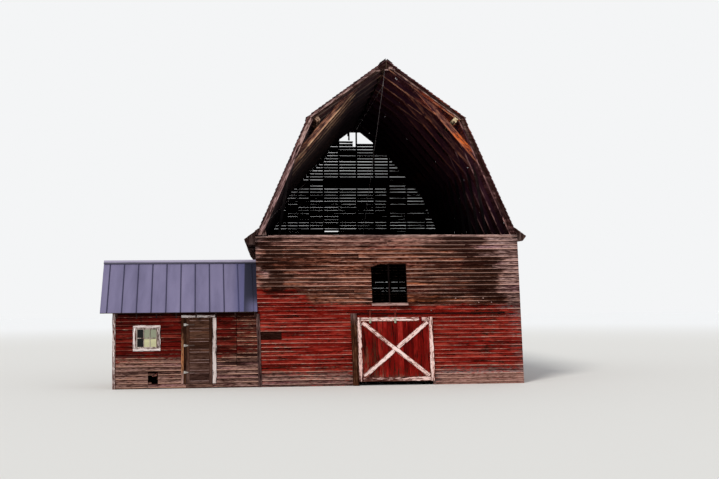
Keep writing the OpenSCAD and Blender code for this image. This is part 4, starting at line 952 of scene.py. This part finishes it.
def make_flares():
    flare = Boards(61)
    rng = flare.rng
    start_x = lower_x(FLARE_Z, -NEAR)
    first, last = SIDING_T, BARN_L - SIDING_T - 0.09 - RAFTER_T
    for side, length, angle in FLARES:
        inward = Vector((-math.sin(angle), 0, -math.cos(angle)))
        tip = Vector((start_x + length * math.cos(angle), 0, FLARE_Z - length * math.sin(angle)))
        under = tip + inward * FLARE_T
        inward = inward * FLARE_DROP
        top = Vector((start_x, 0, FLARE_Z)) + inward
        wall_x, wall_z = side * (HALF_W + NEAR), under.z - SIDING_T
        corners = [(side * (top.x + 0.005), top.z), (side * (tip.x + inward.x), tip.z + inward.z),
                   (side * under.x, under.z), (wall_x + (WALL_H - wall_z) * RACK, wall_z), (wall_x, WALL_H),
                   (side * lower_x(WALL_H, -NEAR), WALL_H)][::-side]
        for y in (first + i * (last - first) / (FRAME_N - 1) for i in range(FRAME_N)):
            flare.prism(corners, y, y + RAFTER_T, wear=(0, 0.45, 0.2))
        for y in (ROOF_Y0, ROOF_Y1 - END_T):
            flare.prism(corners, y, y + END_T, wear=(0, 0.75, 0.1), tone=0.5)

        down, out = at(side, math.cos(angle), -math.sin(angle)), at(side, math.sin(angle), math.cos(angle))
        low = at(side, tip.x, tip.z) - out * FLARE_DROP
        q = 0.0
        while q < length - 0.04:
            width = min(0.16, length - q)
            foot = low - down * q
            foot.y = ROOF_Y0 if side > 0 else ROOF_Y1
            flare.board(foot, DEEP * side, -down, ROOF_Y1 - ROOF_Y0, width - 0.012, FLARE_BOARD_T, worn=0.005,
                        ragged=0.01, wear=(0, 0.2, 0.1))
            q += width
        pitch = (length - 0.01) / FLARE_ROWS
        for row in range(FLARE_ROWS):
            y = ROOF_Y0
            while y < ROOF_Y1 - 0.02:
                width = min(rng.uniform(0.08, 0.2), ROOF_Y1 - y)
                butt = max(0, row * pitch + (rng.uniform(-0.004, 0.02) if row == 0 else -rng.uniform(0, 0.015)))
                head = (row + 1) * pitch + (0.015 if row < FLARE_ROWS - 1 else 0)
                if rng.uniform() > 0.04:
                    add_shingle(flare, low + out * (FLARE_BOARD_T + 0.0005), -down, out, side,
                                [(butt, 0.004), (head, 0), (head, 0.004), (butt, 0.0145)], y, y + width - 0.004,
                                (0, 0.2, 0.5))
                y += width
    flare.build("eave_flare_boards", bpy.data.materials["shingle_wood"], "shingles", "eave_flares")


# Barge boards and the broken boards at the front peak

BARGE_T = 0.025
# Each barge board's strips by side and slope: outer and inner depth below the roof's surface, wear and tone. The
# dark inner strip on the upper left is painted shade, where the shaded inside of the roof shows.
BARGE_STRIPS = {(-1, False): ((0.001, 0.145, (0, 0.1, 1.0), 0.85),),
                (-1, True): ((0.001, 0.075, (0, 0.35, 1.0), 0.6), (0.0755, 0.125, (0, 1.3, 0.2), 0.1)),
                (1, False): ((0.001, 0.145, (0, 0.8, 0.15), 0.0),),
                (1, True): ((0.001, 0.085, (0, 1.5, 0.1), 0.0), (0.0855, 0.125, (0, 0.3, 0.2), 0.6))}
PEAK_BOARDS = ((-0.37, -0.2, 10.15, 10.23, 0.2), (-0.21, -0.02, 10.2, 10.29, 0.1), (-0.05, 0.07, 10.17, 10.24, 0.6),
               (0.06, 0.22, 10.22, 10.31, 0.8), (0.19, 0.3, 10.19, 10.26, 0.3))


def make_barge_boards():
    barge = Boards(71)
    for y_back, front in ((BARGE_T - ROOF_OVER, True), (ROOF_Y1, False)):
        for side in (-1, 1):
            for upper in (False, True):
                for outer, inner, wear, tone in BARGE_STRIPS[side, upper]:
                    low, high = [], []
                    for d in (ROOF_T + inner, ROOF_T + outer):
                        kink = kink_at(d, side)
                        if upper:
                            x = 0.26 if front else 0.02
                            low.append(kink)
                            high.append(at(side, x, upper_z(x, d)))
                        else:
                            low.append(at(side, lower_x(WALL_H + 0.001, d), WALL_H + 0.001))
                            high.append(kink - UP * 0.001)
                    leaf(barge, low + high, y_back, side, wear, tone)
            if front:
                leaf(barge, [at(side, x, upper_z(x, d)) for x in (0.256, 0.003) for d in
                             (ROOF_T + 0.16, ROOF_T + 0.001)], y_back, side, (0, 1.8, 0), 0.0)
    for x0, x1, z0, z1, tone in PEAK_BOARDS:
        x = max(x0, -section_x(z0, ROOF_T))
        barge.board((x, -ROOF_OVER - NEAR, z0), ACROSS, UP, x1 - x, z1 - z0, BARGE_T,
                    skew=(max(0, -section_x(z1, ROOF_T) - x0), 0), step=0.05, worn=0.012, ragged=0.03,
                    wear=(0, 0.7 - 0.5 * tone, 1.0), tone=tone)
    foot, z = lower_x(WALL_H, ROOF_T), WALL_H + 0.19
    barge.prism([(-foot, WALL_H), (0.31 - foot, WALL_H), (-lower_x(z, INNER), z), (-lower_x(z, ROOF_T), z)],
                0, SIDING_T, wear=(0, 0, 0.6), tone=0.8)
    barge.build("barge_boards", wood("barge_wood", BARE_BARGE, rim=srgb(172, 142, 132), contrast=1.3),
                "boards_pale", "gable_trim")


def leaf(boards, ends, y_back, side, wear, tone):
    """A board in the gable's plane through its inner and outer corners at the low and the high end."""
    inner0, outer0, inner1, outer1 = ends if side < 0 else ends[2:] + ends[:2]
    along = (inner1 - inner0).normalized()
    across = Vector((-along.z, 0, along.x))
    rise = outer0 - inner0
    boards.board((inner0.x, y_back, inner0.z), along, across, (inner1 - inner0).length, rise.dot(across), BARGE_T,
                 skew=(rise.dot(along), (outer1 - inner1).dot(along)), step=0.25, worn=0.004, ragged=0.004,
                 wear=wear, tone=tone, rims=(0.82, 0.15))


# Sliding door and its post

LEAF_X0, LEAF_X1, LEAF_Z0, LEAF_Z1, LEAF_N = -1.108, 1.344, 0.13, 2.18, 15
LEAF_BACK, LEAF_T, RAIL_T, RAIL_W, BRACE_INSET = -0.015, 0.022, 0.024, 0.135, 0.045
TOP_GAP = (0.905, 0.99)


def door_wear(points):
    x, _, z = points.T
    paint = 0.74 - 0.5 * ramp_down(z, 0.2, 0.45) - 0.3 * bump_at(x, -0.75, 0.25) * bump_at(z, 0.8, 0.5)
    paint += 0.2 * bump_at(x, 0.45, 0.25) * bump_at(z, 1.7, 0.5)
    return stacked(paint, 0.42 - 0.3 * bump_at(x, 0.4, 0.4), 0.5 * ramp_down(z, 0.2, 0.42))


def frame_wear(points):
    x, _, z = points.T
    paint = 0.7 - 0.4 * ramp_down(z, 0.2, 0.34) * (1 - 0.6 * ramp_up(x, 0.2, 0.6))
    paint -= 0.26 * bump_at(x, -0.45, 0.4) * bump_at(z, 1.5, 0.35) + 0.14 * ramp_up(z, 2.02, 2.06)
    return stacked(paint - 0.1 * bump_at(x, -1.04, 0.08) * bump_at(z, 1.25, 0.4), 0.12, 0.2)


def post_wear(points):
    return stacked(0, 0.1, ramp_up(points[:, 2], 1.9, 2.3))


def make_sliding_door():
    boards = Boards(81, lean)
    uniform = boards.rng.uniform
    width = (LEAF_X1 - LEAF_X0) / LEAF_N
    for i in range(LEAF_N):
        boards.board((LEAF_X1 - i * width, LEAF_BACK, LEAF_Z0 + uniform(0, 0.008)), UP, -ACROSS,
                     LEAF_Z1 - LEAF_Z0 - 0.008, width - uniform(0.002, 0.006), LEAF_T, step=0.25, worn=0.0015,
                     lift=-uniform(0, 0.004), wear=door_wear)
    boards.build("door_boards", wood("door_wood", BARE_BROWN, DOOR_PAINT, contrast=0.6), "siding_red", "door_leaf",
                 body="sliding_door")

    rails = Boards(82, lean)
    y, w = LEAF_BACK - LEAF_T, RAIL_W
    x0, x1, z0, z1 = LEAF_X0 + w, LEAF_X1 - w, LEAF_Z0 + w, LEAF_Z1 - w
    form = dict(step=0.12, wear=frame_wear)
    for a, b in ((LEAF_X0, x0 - 0.002), (x1 + 0.002, LEAF_X1)):
        rails.board((b, y, LEAF_Z0), UP, -ACROSS, LEAF_Z1 - LEAF_Z0, b - a, RAIL_T, **form)
    for a, b, z in ((x0, TOP_GAP[0], z1), (TOP_GAP[1], x1, z1), (x0, x1, LEAF_Z0)):
        rails.board((a, y, z), ACROSS, UP, b - a, w, RAIL_T, ragged=0.008, **form)
    rising = Vector((x1 - x0, 0, z1 - z0))
    cut = w / 2 * rising.x / rising.z * 0.9  # half of what the falling brace takes out of the rising one
    rising.normalize()
    falling = Vector((rising.x, 0, -rising.z))
    rails.timber(Vector((x0, y, z1)) + falling * BRACE_INSET, Vector((x1, y, z0)) - falling * BRACE_INSET, UP, w,
                 RAIL_T, ragged=0.02, tone=0.9, **form)
    middle = Vector(((x0 + x1) / 2, y, (z0 + z1) / 2))
    for a, b in ((Vector((x0, y, z0)) + rising * BRACE_INSET, middle - rising * cut),
                 (middle + rising * cut, Vector((x1, y, z1)) - rising * BRACE_INSET)):
        rails.timber(a, b, UP, w, RAIL_T, ragged=0.01, **form)
    rails.build("door_frame_boards", wood("door_frame_wood", tones((48, 18, 14), (104, 56, 46), (160, 116, 104)),
                                          WHITE_PAINT, chipped=0.34), "boards_pale", "door_frame",
                body="sliding_door")

    post = Boards(83, lean)
    post.block(DOOR_X0 - 0.19, DOOR_X0, -0.085, -0.0005, 0, 2.31, 2, step=0.2, chamfer=0.008,
               wear=post_wear)
    post.build("door_post_timber", wood("post_wood", BARE_POST), "timber_dark", "door_post")


# Shed: walls, trim, door

SLAB = (-6.433, -5.618, 0.15, 2.215)
SHED_DOOR, SHED_HEAD = (-6.445, -5.606), 2.227
SHED_WINDOW = (-8.005, -7.333, 1.28, 1.908)
SHED_HOLE = (-7.628, -7.316, 0.153, 0.533)
SHED_JOINT = (-4.855, -4.847, 0.75, 2.3)
SHED_TOP = SHED_RIDGE - (SHED_DECK + 0.002) / math.cos(SHED) - 0.01
TRIM_T, TRIM_BACK = 0.02, -0.0004
CASING_TOP, CASING_W, WINDOW_CASING_W, CORNER_W = SLAB[3] + 0.006, 0.118, 0.092, 0.092


def barn_face(z):
    return -HALF_W + (WALL_H - z) * RACK - 0.001


def shed_roof_z(y, d):
    """The height of the shed roof d below the top of its sheet."""
    return SHED_RIDGE - abs(y - SHED_MID) * math.tan(SHED) - (SHED_DECK + d) / math.cos(SHED)


def shed_limit(z):
    """How far the shed's gable has drawn in at height z."""
    return max(0.0, (z - shed_roof_z(0, 0.0005)) / math.tan(SHED))


def make_shed():
    siding = wood("shed_boards", tones((42, 20, 14), (90, 58, 46), (142, 104, 88)), SHED_PAINT,
                  rim=srgb(184, 142, 122), lips=(0.85, 0.4))
    walls = Boards(91)
    courses(walls, (0, SIDING_T, 0), ACROSS, lambda z: (SHED_X0, barn_face(z)), SHED_WALL_H, shed_wear,
            [(*SHED_DOOR, -1, SHED_HEAD), SHED_WINDOW, SHED_HOLE, SHED_JOINT], longest=3.4, phase=SHED_PHASE)
    courses(walls, (0, SHED_D - SIDING_T, 0), -ACROSS, lambda z: (-barn_face(z), -SHED_X0), SHED_WALL_H, shed_wear,
            longest=3.6)
    courses(walls, (SHED_X0 + SIDING_T, 0, 0), -DEEP, lambda z: (shed_limit(z) - SHED_D, -shed_limit(z)), SHED_TOP,
            shed_wear, longest=3.0)
    walls.build("shed_siding", siding, "siding_red", "shed_front_left", "shed_front_right", "shed_front_head",
                "shed_left_wall", "shed_rear_wall")

    wx0, wx1, wz0, wz1 = SHED_WINDOW
    left, face = SHED_X0 + SIDING_T, barn_face(SHED_WALL_H)
    blocked = ((wx0 - STUD_T, wx1), SHED_HOLE[:2])
    studs = Boards(92)
    for y0, y1, a, b in ((SIDING_T, SHED_WALL_T, left, SHED_DOOR[0]), (SIDING_T, SHED_WALL_T, SHED_DOOR[1], face),
                         (SHED_D - SHED_WALL_T, SHED_D - SIDING_T, left, face)):
        stud_run(studs, a, b, y0, y1, SHED_WALL_H, 0.6, blocked if y0 == SIDING_T else ())
        studs.block(a, b, y0, y1, SHED_WALL_H - PLATE_H, SHED_WALL_H)
    for x in (wx0 - STUD_T, wx1):
        studs.block(x, x + STUD_T, SIDING_T, SHED_WALL_T, SILL_H, SHED_WALL_H - PLATE_H, 2)
    window_rails(studs, SHED_WINDOW, SHED_WALL_T)
    studs.block(*SHED_DOOR, SIDING_T, SHED_WALL_T, SHED_HEAD, SHED_HEAD + 0.1)
    for y in np.linspace(SHED_WALL_T, SHED_D - SHED_WALL_T - STUD_T, 5):
        top = min(shed_roof_z(y, 0.001), shed_roof_z(y + STUD_T, 0.001))
        studs.block(left, SHED_X0 + SHED_WALL_T, y, y + STUD_T, SILL_H, top, 2)
    studs.block(left, SHED_X0 + SHED_WALL_T, SHED_WALL_T, SHED_D - SHED_WALL_T, 0, SILL_H, 1)
    studs.build("shed_framing", bpy.data.materials["framing_wood"], "timber_dark")

    trim = Boards(93)
    w, pale = WINDOW_CASING_W, (0.62, 0.05, 0.6)
    corner = SHED_X0 - TRIM_T
    for x0, x1, z0, z1, axis, worn, wear in (
            (SHED_DOOR[1], SHED_DOOR[1] + CASING_W, SLAB[2], CASING_TOP, 2, 0.003, (0.75, 0.0, 0.6)),
            (corner, corner + CORNER_W, 0, SHED_WALL_H, 2, 0.003, (0.45, 0.1, 0.7)),
            (SHED_DOOR[0] - 0.15, SHED_DOOR[1] + CASING_W, CASING_TOP + 0.001, CASING_TOP + 0.085, 0, 0.003,
             (0.75, 0.05, 0.6)),
            (wx0 - w, wx0, wz0, wz1, 2, 0.002, pale), (wx1, wx1 + w, wz0, wz1, 2, 0.002, pale),
            (wx0 - w, wx1 + w, wz0 - w, wz0, 0, 0.002, pale), (wx0 - w, wx1 + w, wz1, wz1 + w, 0, 0.002, pale)):
        trim.block(x0, x1, -TRIM_T, TRIM_BACK, z0, z1, axis, step=0.1, worn=worn, wear=wear)
    trim.build("shed_trim_boards", wood("shed_trim_wood", BARE_BARGE, GREY_PAINT, chipped=0.2), "boards_pale",
               "shed_trim")

    bits = Boards(96)
    hx0, hx1, hz0, hz1 = SHED_HOLE
    y, thick = 0.034, 0.013
    for a, b, z, rise in ((hx0 - 0.01, hx0 + 0.2, hz1 - 0.06, -0.03), (hx0 + 0.12, hx1 + 0.01, hz1 - 0.13, 0.05),
                          (hx0 - 0.01, hx0 + 0.1, hz0 + 0.02, 0.02)):
        bits.timber((a, y, z), (b, y, z + rise), UP, 0.075, thick, step=0.04, worn=0.008, ragged=0.02,
                    wear=(0.3, 0.3, 0.5))
    bits.timber((hx1 - 0.012, y, hz0 + 0.13), (hx1 - 0.02, y, hz1 - 0.04), -ACROSS, 0.05, thick, step=0.04,
                worn=0.005, ragged=0.02, wear=(0, 0, 0.2), tone=1.0)
    bits.build("shed_hole_bits", siding, "siding_red")

    jamb = Boards(94)
    split = SHED_DOOR[0] - 0.075
    for x0, x1, wear, tone in ((split - 0.075, split - 0.002, jamb_wear, 0.95),
                               (split, SHED_DOOR[0], (0, 0.9, 0), 0.2)):
        jamb.block(x0, x1, -TRIM_T, TRIM_BACK, SLAB[2], CASING_TOP, 2, step=0.15, wear=wear, tone=tone)
    jamb.block(*SHED_DOOR, 0, SHED_WALL_T, 0, SLAB[2] - 0.012, step=0.2, wear=(0, 0.2, 0.5))
    jamb.build("shed_jamb_boards", wood("jamb_wood", tones((30, 13, 7), (88, 58, 42), (176, 128, 94))),
               "timber_dark", "shed_jamb")


def jamb_wear(points):
    """The jamb: bleached below, dirty at the top, grey at the foot."""
    z = points[:, 2]
    return stacked(0, 0.1 + 0.6 * ramp_up(z, 1.3, 1.7), 0.9 * ramp_down(z, 0.4, 0.6))


def panel_wear(points):
    return stacked(0, 0.12, 0.02 + 0.3 * ramp_down(points[:, 2], 0.3, 1.3))


def make_shed_door():
    """A door of two stiles, seven rails and six set-back panels with a small moulding above and below each."""
    door = Boards(95)
    x0, x1, z0, z1 = SLAB
    front, back, stile, rail, panels, bead = -0.014, 0.021, 0.1, 0.075, 6, 0.012
    for a, b in ((x0, x0 + stile), (x1 - stile, x1)):
        door.block(a, b, front, back, z0, z1, 2, step=0.2, worn=0.0015, wear=panel_wear, tone=0.35)
    x0, x1 = x0 + stile, x1 - stile
    heights = np.linspace(z0, z1 - rail, panels + 1)
    for z in heights:
        door.block(x0, x1, front, back, z, z + rail, step=0.2, worn=0.001, wear=panel_wear, tone=0.45)
    for low, high in zip(heights, heights[1:]):
        door.block(x0, x1, front + bead, back - 0.006, low + rail, high, step=0.3, worn=0, wear=panel_wear)
        # Beads of the palest grey wood: a painted highlight along each moulding
        for z in (low + rail, high - bead):
            door.block(x0, x1, front + 0.003, front + bead, z, z + bead, worn=0, wear=(0, 0, 1), tone=1.0)
    door.build("shed_door_panels", wood("shed_door_wood", tones((30, 14, 8), (58, 35, 25), (92, 66, 53)),
                                        contrast=0.6), "timber_bare", "shed_door", body="shed_door_body")


# Finishes of the CAD nodes that stay

def dress(material, bevel, *names):
    """Gives CAD nodes a material, and edges worn down by bevel."""
    for name in names:
        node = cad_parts[name]
        if not node.material_slots:
            node.data.materials.append(material)
        for slot in node.material_slots:
            slot.link = "OBJECT"
            slot.material = material
        if bevel:
            edges = node.modifiers.new("worn_edges", "BEVEL")
            edges.width, edges.segments, edges.limit_method = bevel, 1, "ANGLE"


SEAM_FIRST, SEAM_PITCH, SEAM_SKEW = 0.208, 0.457, 0.09
# Where the painted shadow over the last bay by the barn begins
SHADOWED_BAY = (-4.64, -4.6)


def make_metal_roof():
    """Slate-coloured sheet on top, boards below, told apart by which way the surface faces. The sheet has painted
    shadow along its seams and by the barn, with a painted sheen at the foot of the last bay.
    """
    look = Finish("sheet_roof", 0.3)
    place = look.place()
    across, _, high = look.local()
    fine = place.noise((30, 30, 30), 4, 0.7)
    bays = place.noise((2.2, 0.02, 0.02), 1, 0.5)
    sheet = (place.noise((2.6, 0.5, 0.5)) * 0.6 + bays * 0.4).ramp(
        (0.3, 0.52, 0.75), tones((88, 83, 112), (109, 103, 134), (124, 117, 148)))
    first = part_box("shed_roof_front")[0].x + SEAM_SKEW + SEAM_FIRST
    slanted = place.part("X") - first + (high - SHED_EAVE) * (SEAM_SKEW / (SHED_RIDGE - SHED_EAVE))
    seam = abs(look.math("FRACT", slanted * (1 / SEAM_PITCH) + 0.5) - 0.5)
    # A painted shadow band along each standing seam
    sheet = sheet.mix(seam.smooth(0.05, 0.03), srgb(50, 46, 76))
    # Painted shade towards the barn, then a painted shadow over the last bay, with a painted bluish sheen at its
    # foot
    sheet = sheet.mix(across.smooth(-5.08, SHADOWED_BAY[0]) * 0.7, srgb(66, 68, 112))
    foot = high.smooth(2.95, 2.5) * across.smooth(-4.7, -4.25)
    sheet = sheet.mix(across.smooth(*SHADOWED_BAY), look.mix(foot, srgb(22, 23, 44), srgb(88, 85, 118)))
    boards = place.noise((2, 18, 18)).ramp((0.3, 0.7), tones((30, 20, 18), (84, 64, 56)))
    below = look.normal("Z").smooth(-0.1, -0.3)
    colour = sheet.mix(below, boards).mix(abs(look.normal("Y")).smooth(0.86, 0.94), srgb(22, 16, 20))
    return look.surface(colour, below * 0.4 + fine * 0.18 + 0.42, fine, 0.0006)


def make_ridge_sheet():
    """Sheet bent over the ridge: a painted highlight along the fold, painted shadow towards its two edges."""
    look = Finish("ridge_sheet", 0.5)
    place = look.place()
    low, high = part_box("shed_ridge_cap")
    sheet_mottle = place.noise((3, 12, 12))
    out, reach = abs(place.part("Y") - (low.y + high.y) / 2), (high.y - low.y) / 2
    edge = (out + sheet_mottle.gain(0.02)).smooth(reach * 0.5, reach * 0.72)
    return look.surface(look.mix(edge, srgb(150, 143, 166), srgb(58, 55, 72)), sheet_mottle * 0.2 + 0.4, sheet_mottle, 0.0006)


def make_hinge_iron():
    """Hinges worn bright by their pins, the long ends of the straps as brown as the door."""
    look = Finish("hinge_iron", 0.3)
    across = next(look.local())
    rust = look.place().noise((20, 20, 40), 4, 0.7)
    pale = look.mix(rust.smooth(0.5, 0.62), srgb(168, 164, 160), srgb(104, 84, 72))
    strap = (across + rust.gain(0.05)).smooth(SHED_DOOR[0] + 0.055, SHED_DOOR[0] + 0.08)
    return look.surface(pale.mix(strap, srgb(58, 40, 32)), rust * 0.2 + 0.5, rust, 0.0006)


def make_hanger_paint():
    """Iron painted over with whatever is behind it: red above the door, pale over its rail."""
    look = Finish("hanger_paint")
    place = look.place()
    chips = place.noise((30, 30, 30), 4, 0.7)
    high = place.part("Z") + chips.gain(0.03)
    colour = look.mix(high.smooth(2.17, 2.19), srgb(198, 160, 150), srgb(92, 32, 26))
    colour = colour.mix(high.smooth(2.145, 2.125), srgb(150, 158, 138))
    return look.surface(colour.mix(chips.smooth(0.6, 0.66), srgb(48, 24, 20)), 0.7, chips, 0.0008)


def make_glass():
    """Old panes: the left column near black, painted shade of the dark room behind it; the others with a pale film
    behind them.
    """
    look = Finish("old_pane", 0.2)
    across, _, high = look.local()
    dust = look.place().noise((5, 5, 9), 5, 0.65)
    film = look.mix(high.smooth(1.59, 1.55), srgb(142, 146, 124), srgb(208, 204, 160))
    film = film.mix(dust * 0.6, srgb(118, 120, 104))
    return look.surface(film.mix(across.smooth(-7.762, -7.772), srgb(5, 5, 6)), dust * 0.2 + 0.12, dust, 0.0004)


def dress_frame():
    # Timbers inside the barn: shade gives them painted shade, lit a painted highlight along an inner edge, glow a
    # painted pool of light
    timber = tones((22, 10, 14), (64, 35, 39), (150, 102, 96))
    near = (0.6, 0.7, *tones((62, 51, 56), (58, 28, 44)))
    eave, ridge = (lower_x(WALL_H, INNER), WALL_H), (0, upper_z(0, INNER))
    dress(wood("lower_rafter_wood", timber, grain=sloped(LOWER), shade=near,
               lit=(eave, LOWER, *tones((96, 82, 80), (206, 154, 148)))), 0.005, "lower_rafters")
    dress(wood("upper_rafter_wood", timber, grain=sloped(UPPER), shade=near,
               lit=(ridge, UPPER, *tones((120, 102, 92), (250, 174, 136))),
               glow=(8.9, 1.0, 2.8, srgb(208, 96, 56))), 0.005, "upper_rafters")
    edge = (BRACE_TOP_X, upper_z(BRACE_TOP_X, INNER) - BRACE_W / 2 / math.cos(BRACE))
    dress(wood("brace_wood", tones((26, 11, 13), (84, 51, 45), (188, 132, 104)), grain=sloped(BRACE), contrast=1.4,
               shade=(0.25, 0.85, *tones((72, 60, 62), (58, 27, 40))),
               lit=(edge, BRACE, *tones((224, 180, 142), (190, 116, 84))),
               glow=(7.86, 0.46, 0.9, srgb(210, 104, 50))), 0.004, "knee_braces")
    dress(wood("strut_wood", tones((14, 10, 12), (38, 32, 35), (76, 67, 68)), grain=sloped(STRUT),
               shade=(0.2, 0.5, *tones((60, 54, 54), (24, 16, 18)))), 0.004, "loft_struts")
    dress(wood("beam_wood", tones((40, 24, 18), (104, 76, 62), (206, 178, 156)), grain=LEVEL,
               shade=(0, 0.9, *tones((24, 18, 17), (20, 11, 10))), glow=(8.45, 1.4, 0.7, srgb(250, 226, 184))),
          0.006, "roof_purlins")
    dress(wood("loft_wood", BARE_DARK, grain=LEVEL), 0.004, "loft_girders", "loft_floor", "shed_rafters")
    dress(wood("loft_post_wood", BARE_DARK, grain=UPRIGHT), 0.006, "loft_posts")
    # The track is near black: partly its dark iron, partly a painted shadow line over the door
    dress(metal("track_iron", srgb(12, 6, 6), srgb(44, 15, 11), 0.9, 0.42, specular=0.1), 0.001, "door_track")
    dress(make_hanger_paint(), 0.001, "door_hangers")
    dress(make_hinge_iron(), 0.0008, "shed_hinge_straps", "shed_hinge_plates")
    dress(metal("stay_wire", srgb(118, 109, 109), srgb(80, 64, 60), 0.45, 0.45, 0.4), 0, "stay_cables")
    dress(make_metal_roof(), 0, "shed_roof_front", "shed_roof_rear")
    dress(make_ridge_sheet(), 0.001, "shed_ridge_cap")
    dress(wood("sash_wood", BARE_BARGE, tones((120, 104, 98), (172, 158, 150), (214, 204, 198)), grain=UPRIGHT),
          0.002, "shed_window")
    dress(make_glass(), 0, "shed_glass")


make_camera()
make_stage()
make_barn_walls()
make_rear_gable()
make_roof()
make_flares()
make_barge_boards()
make_sliding_door()
make_shed()
make_shed_door()
dress_frame()
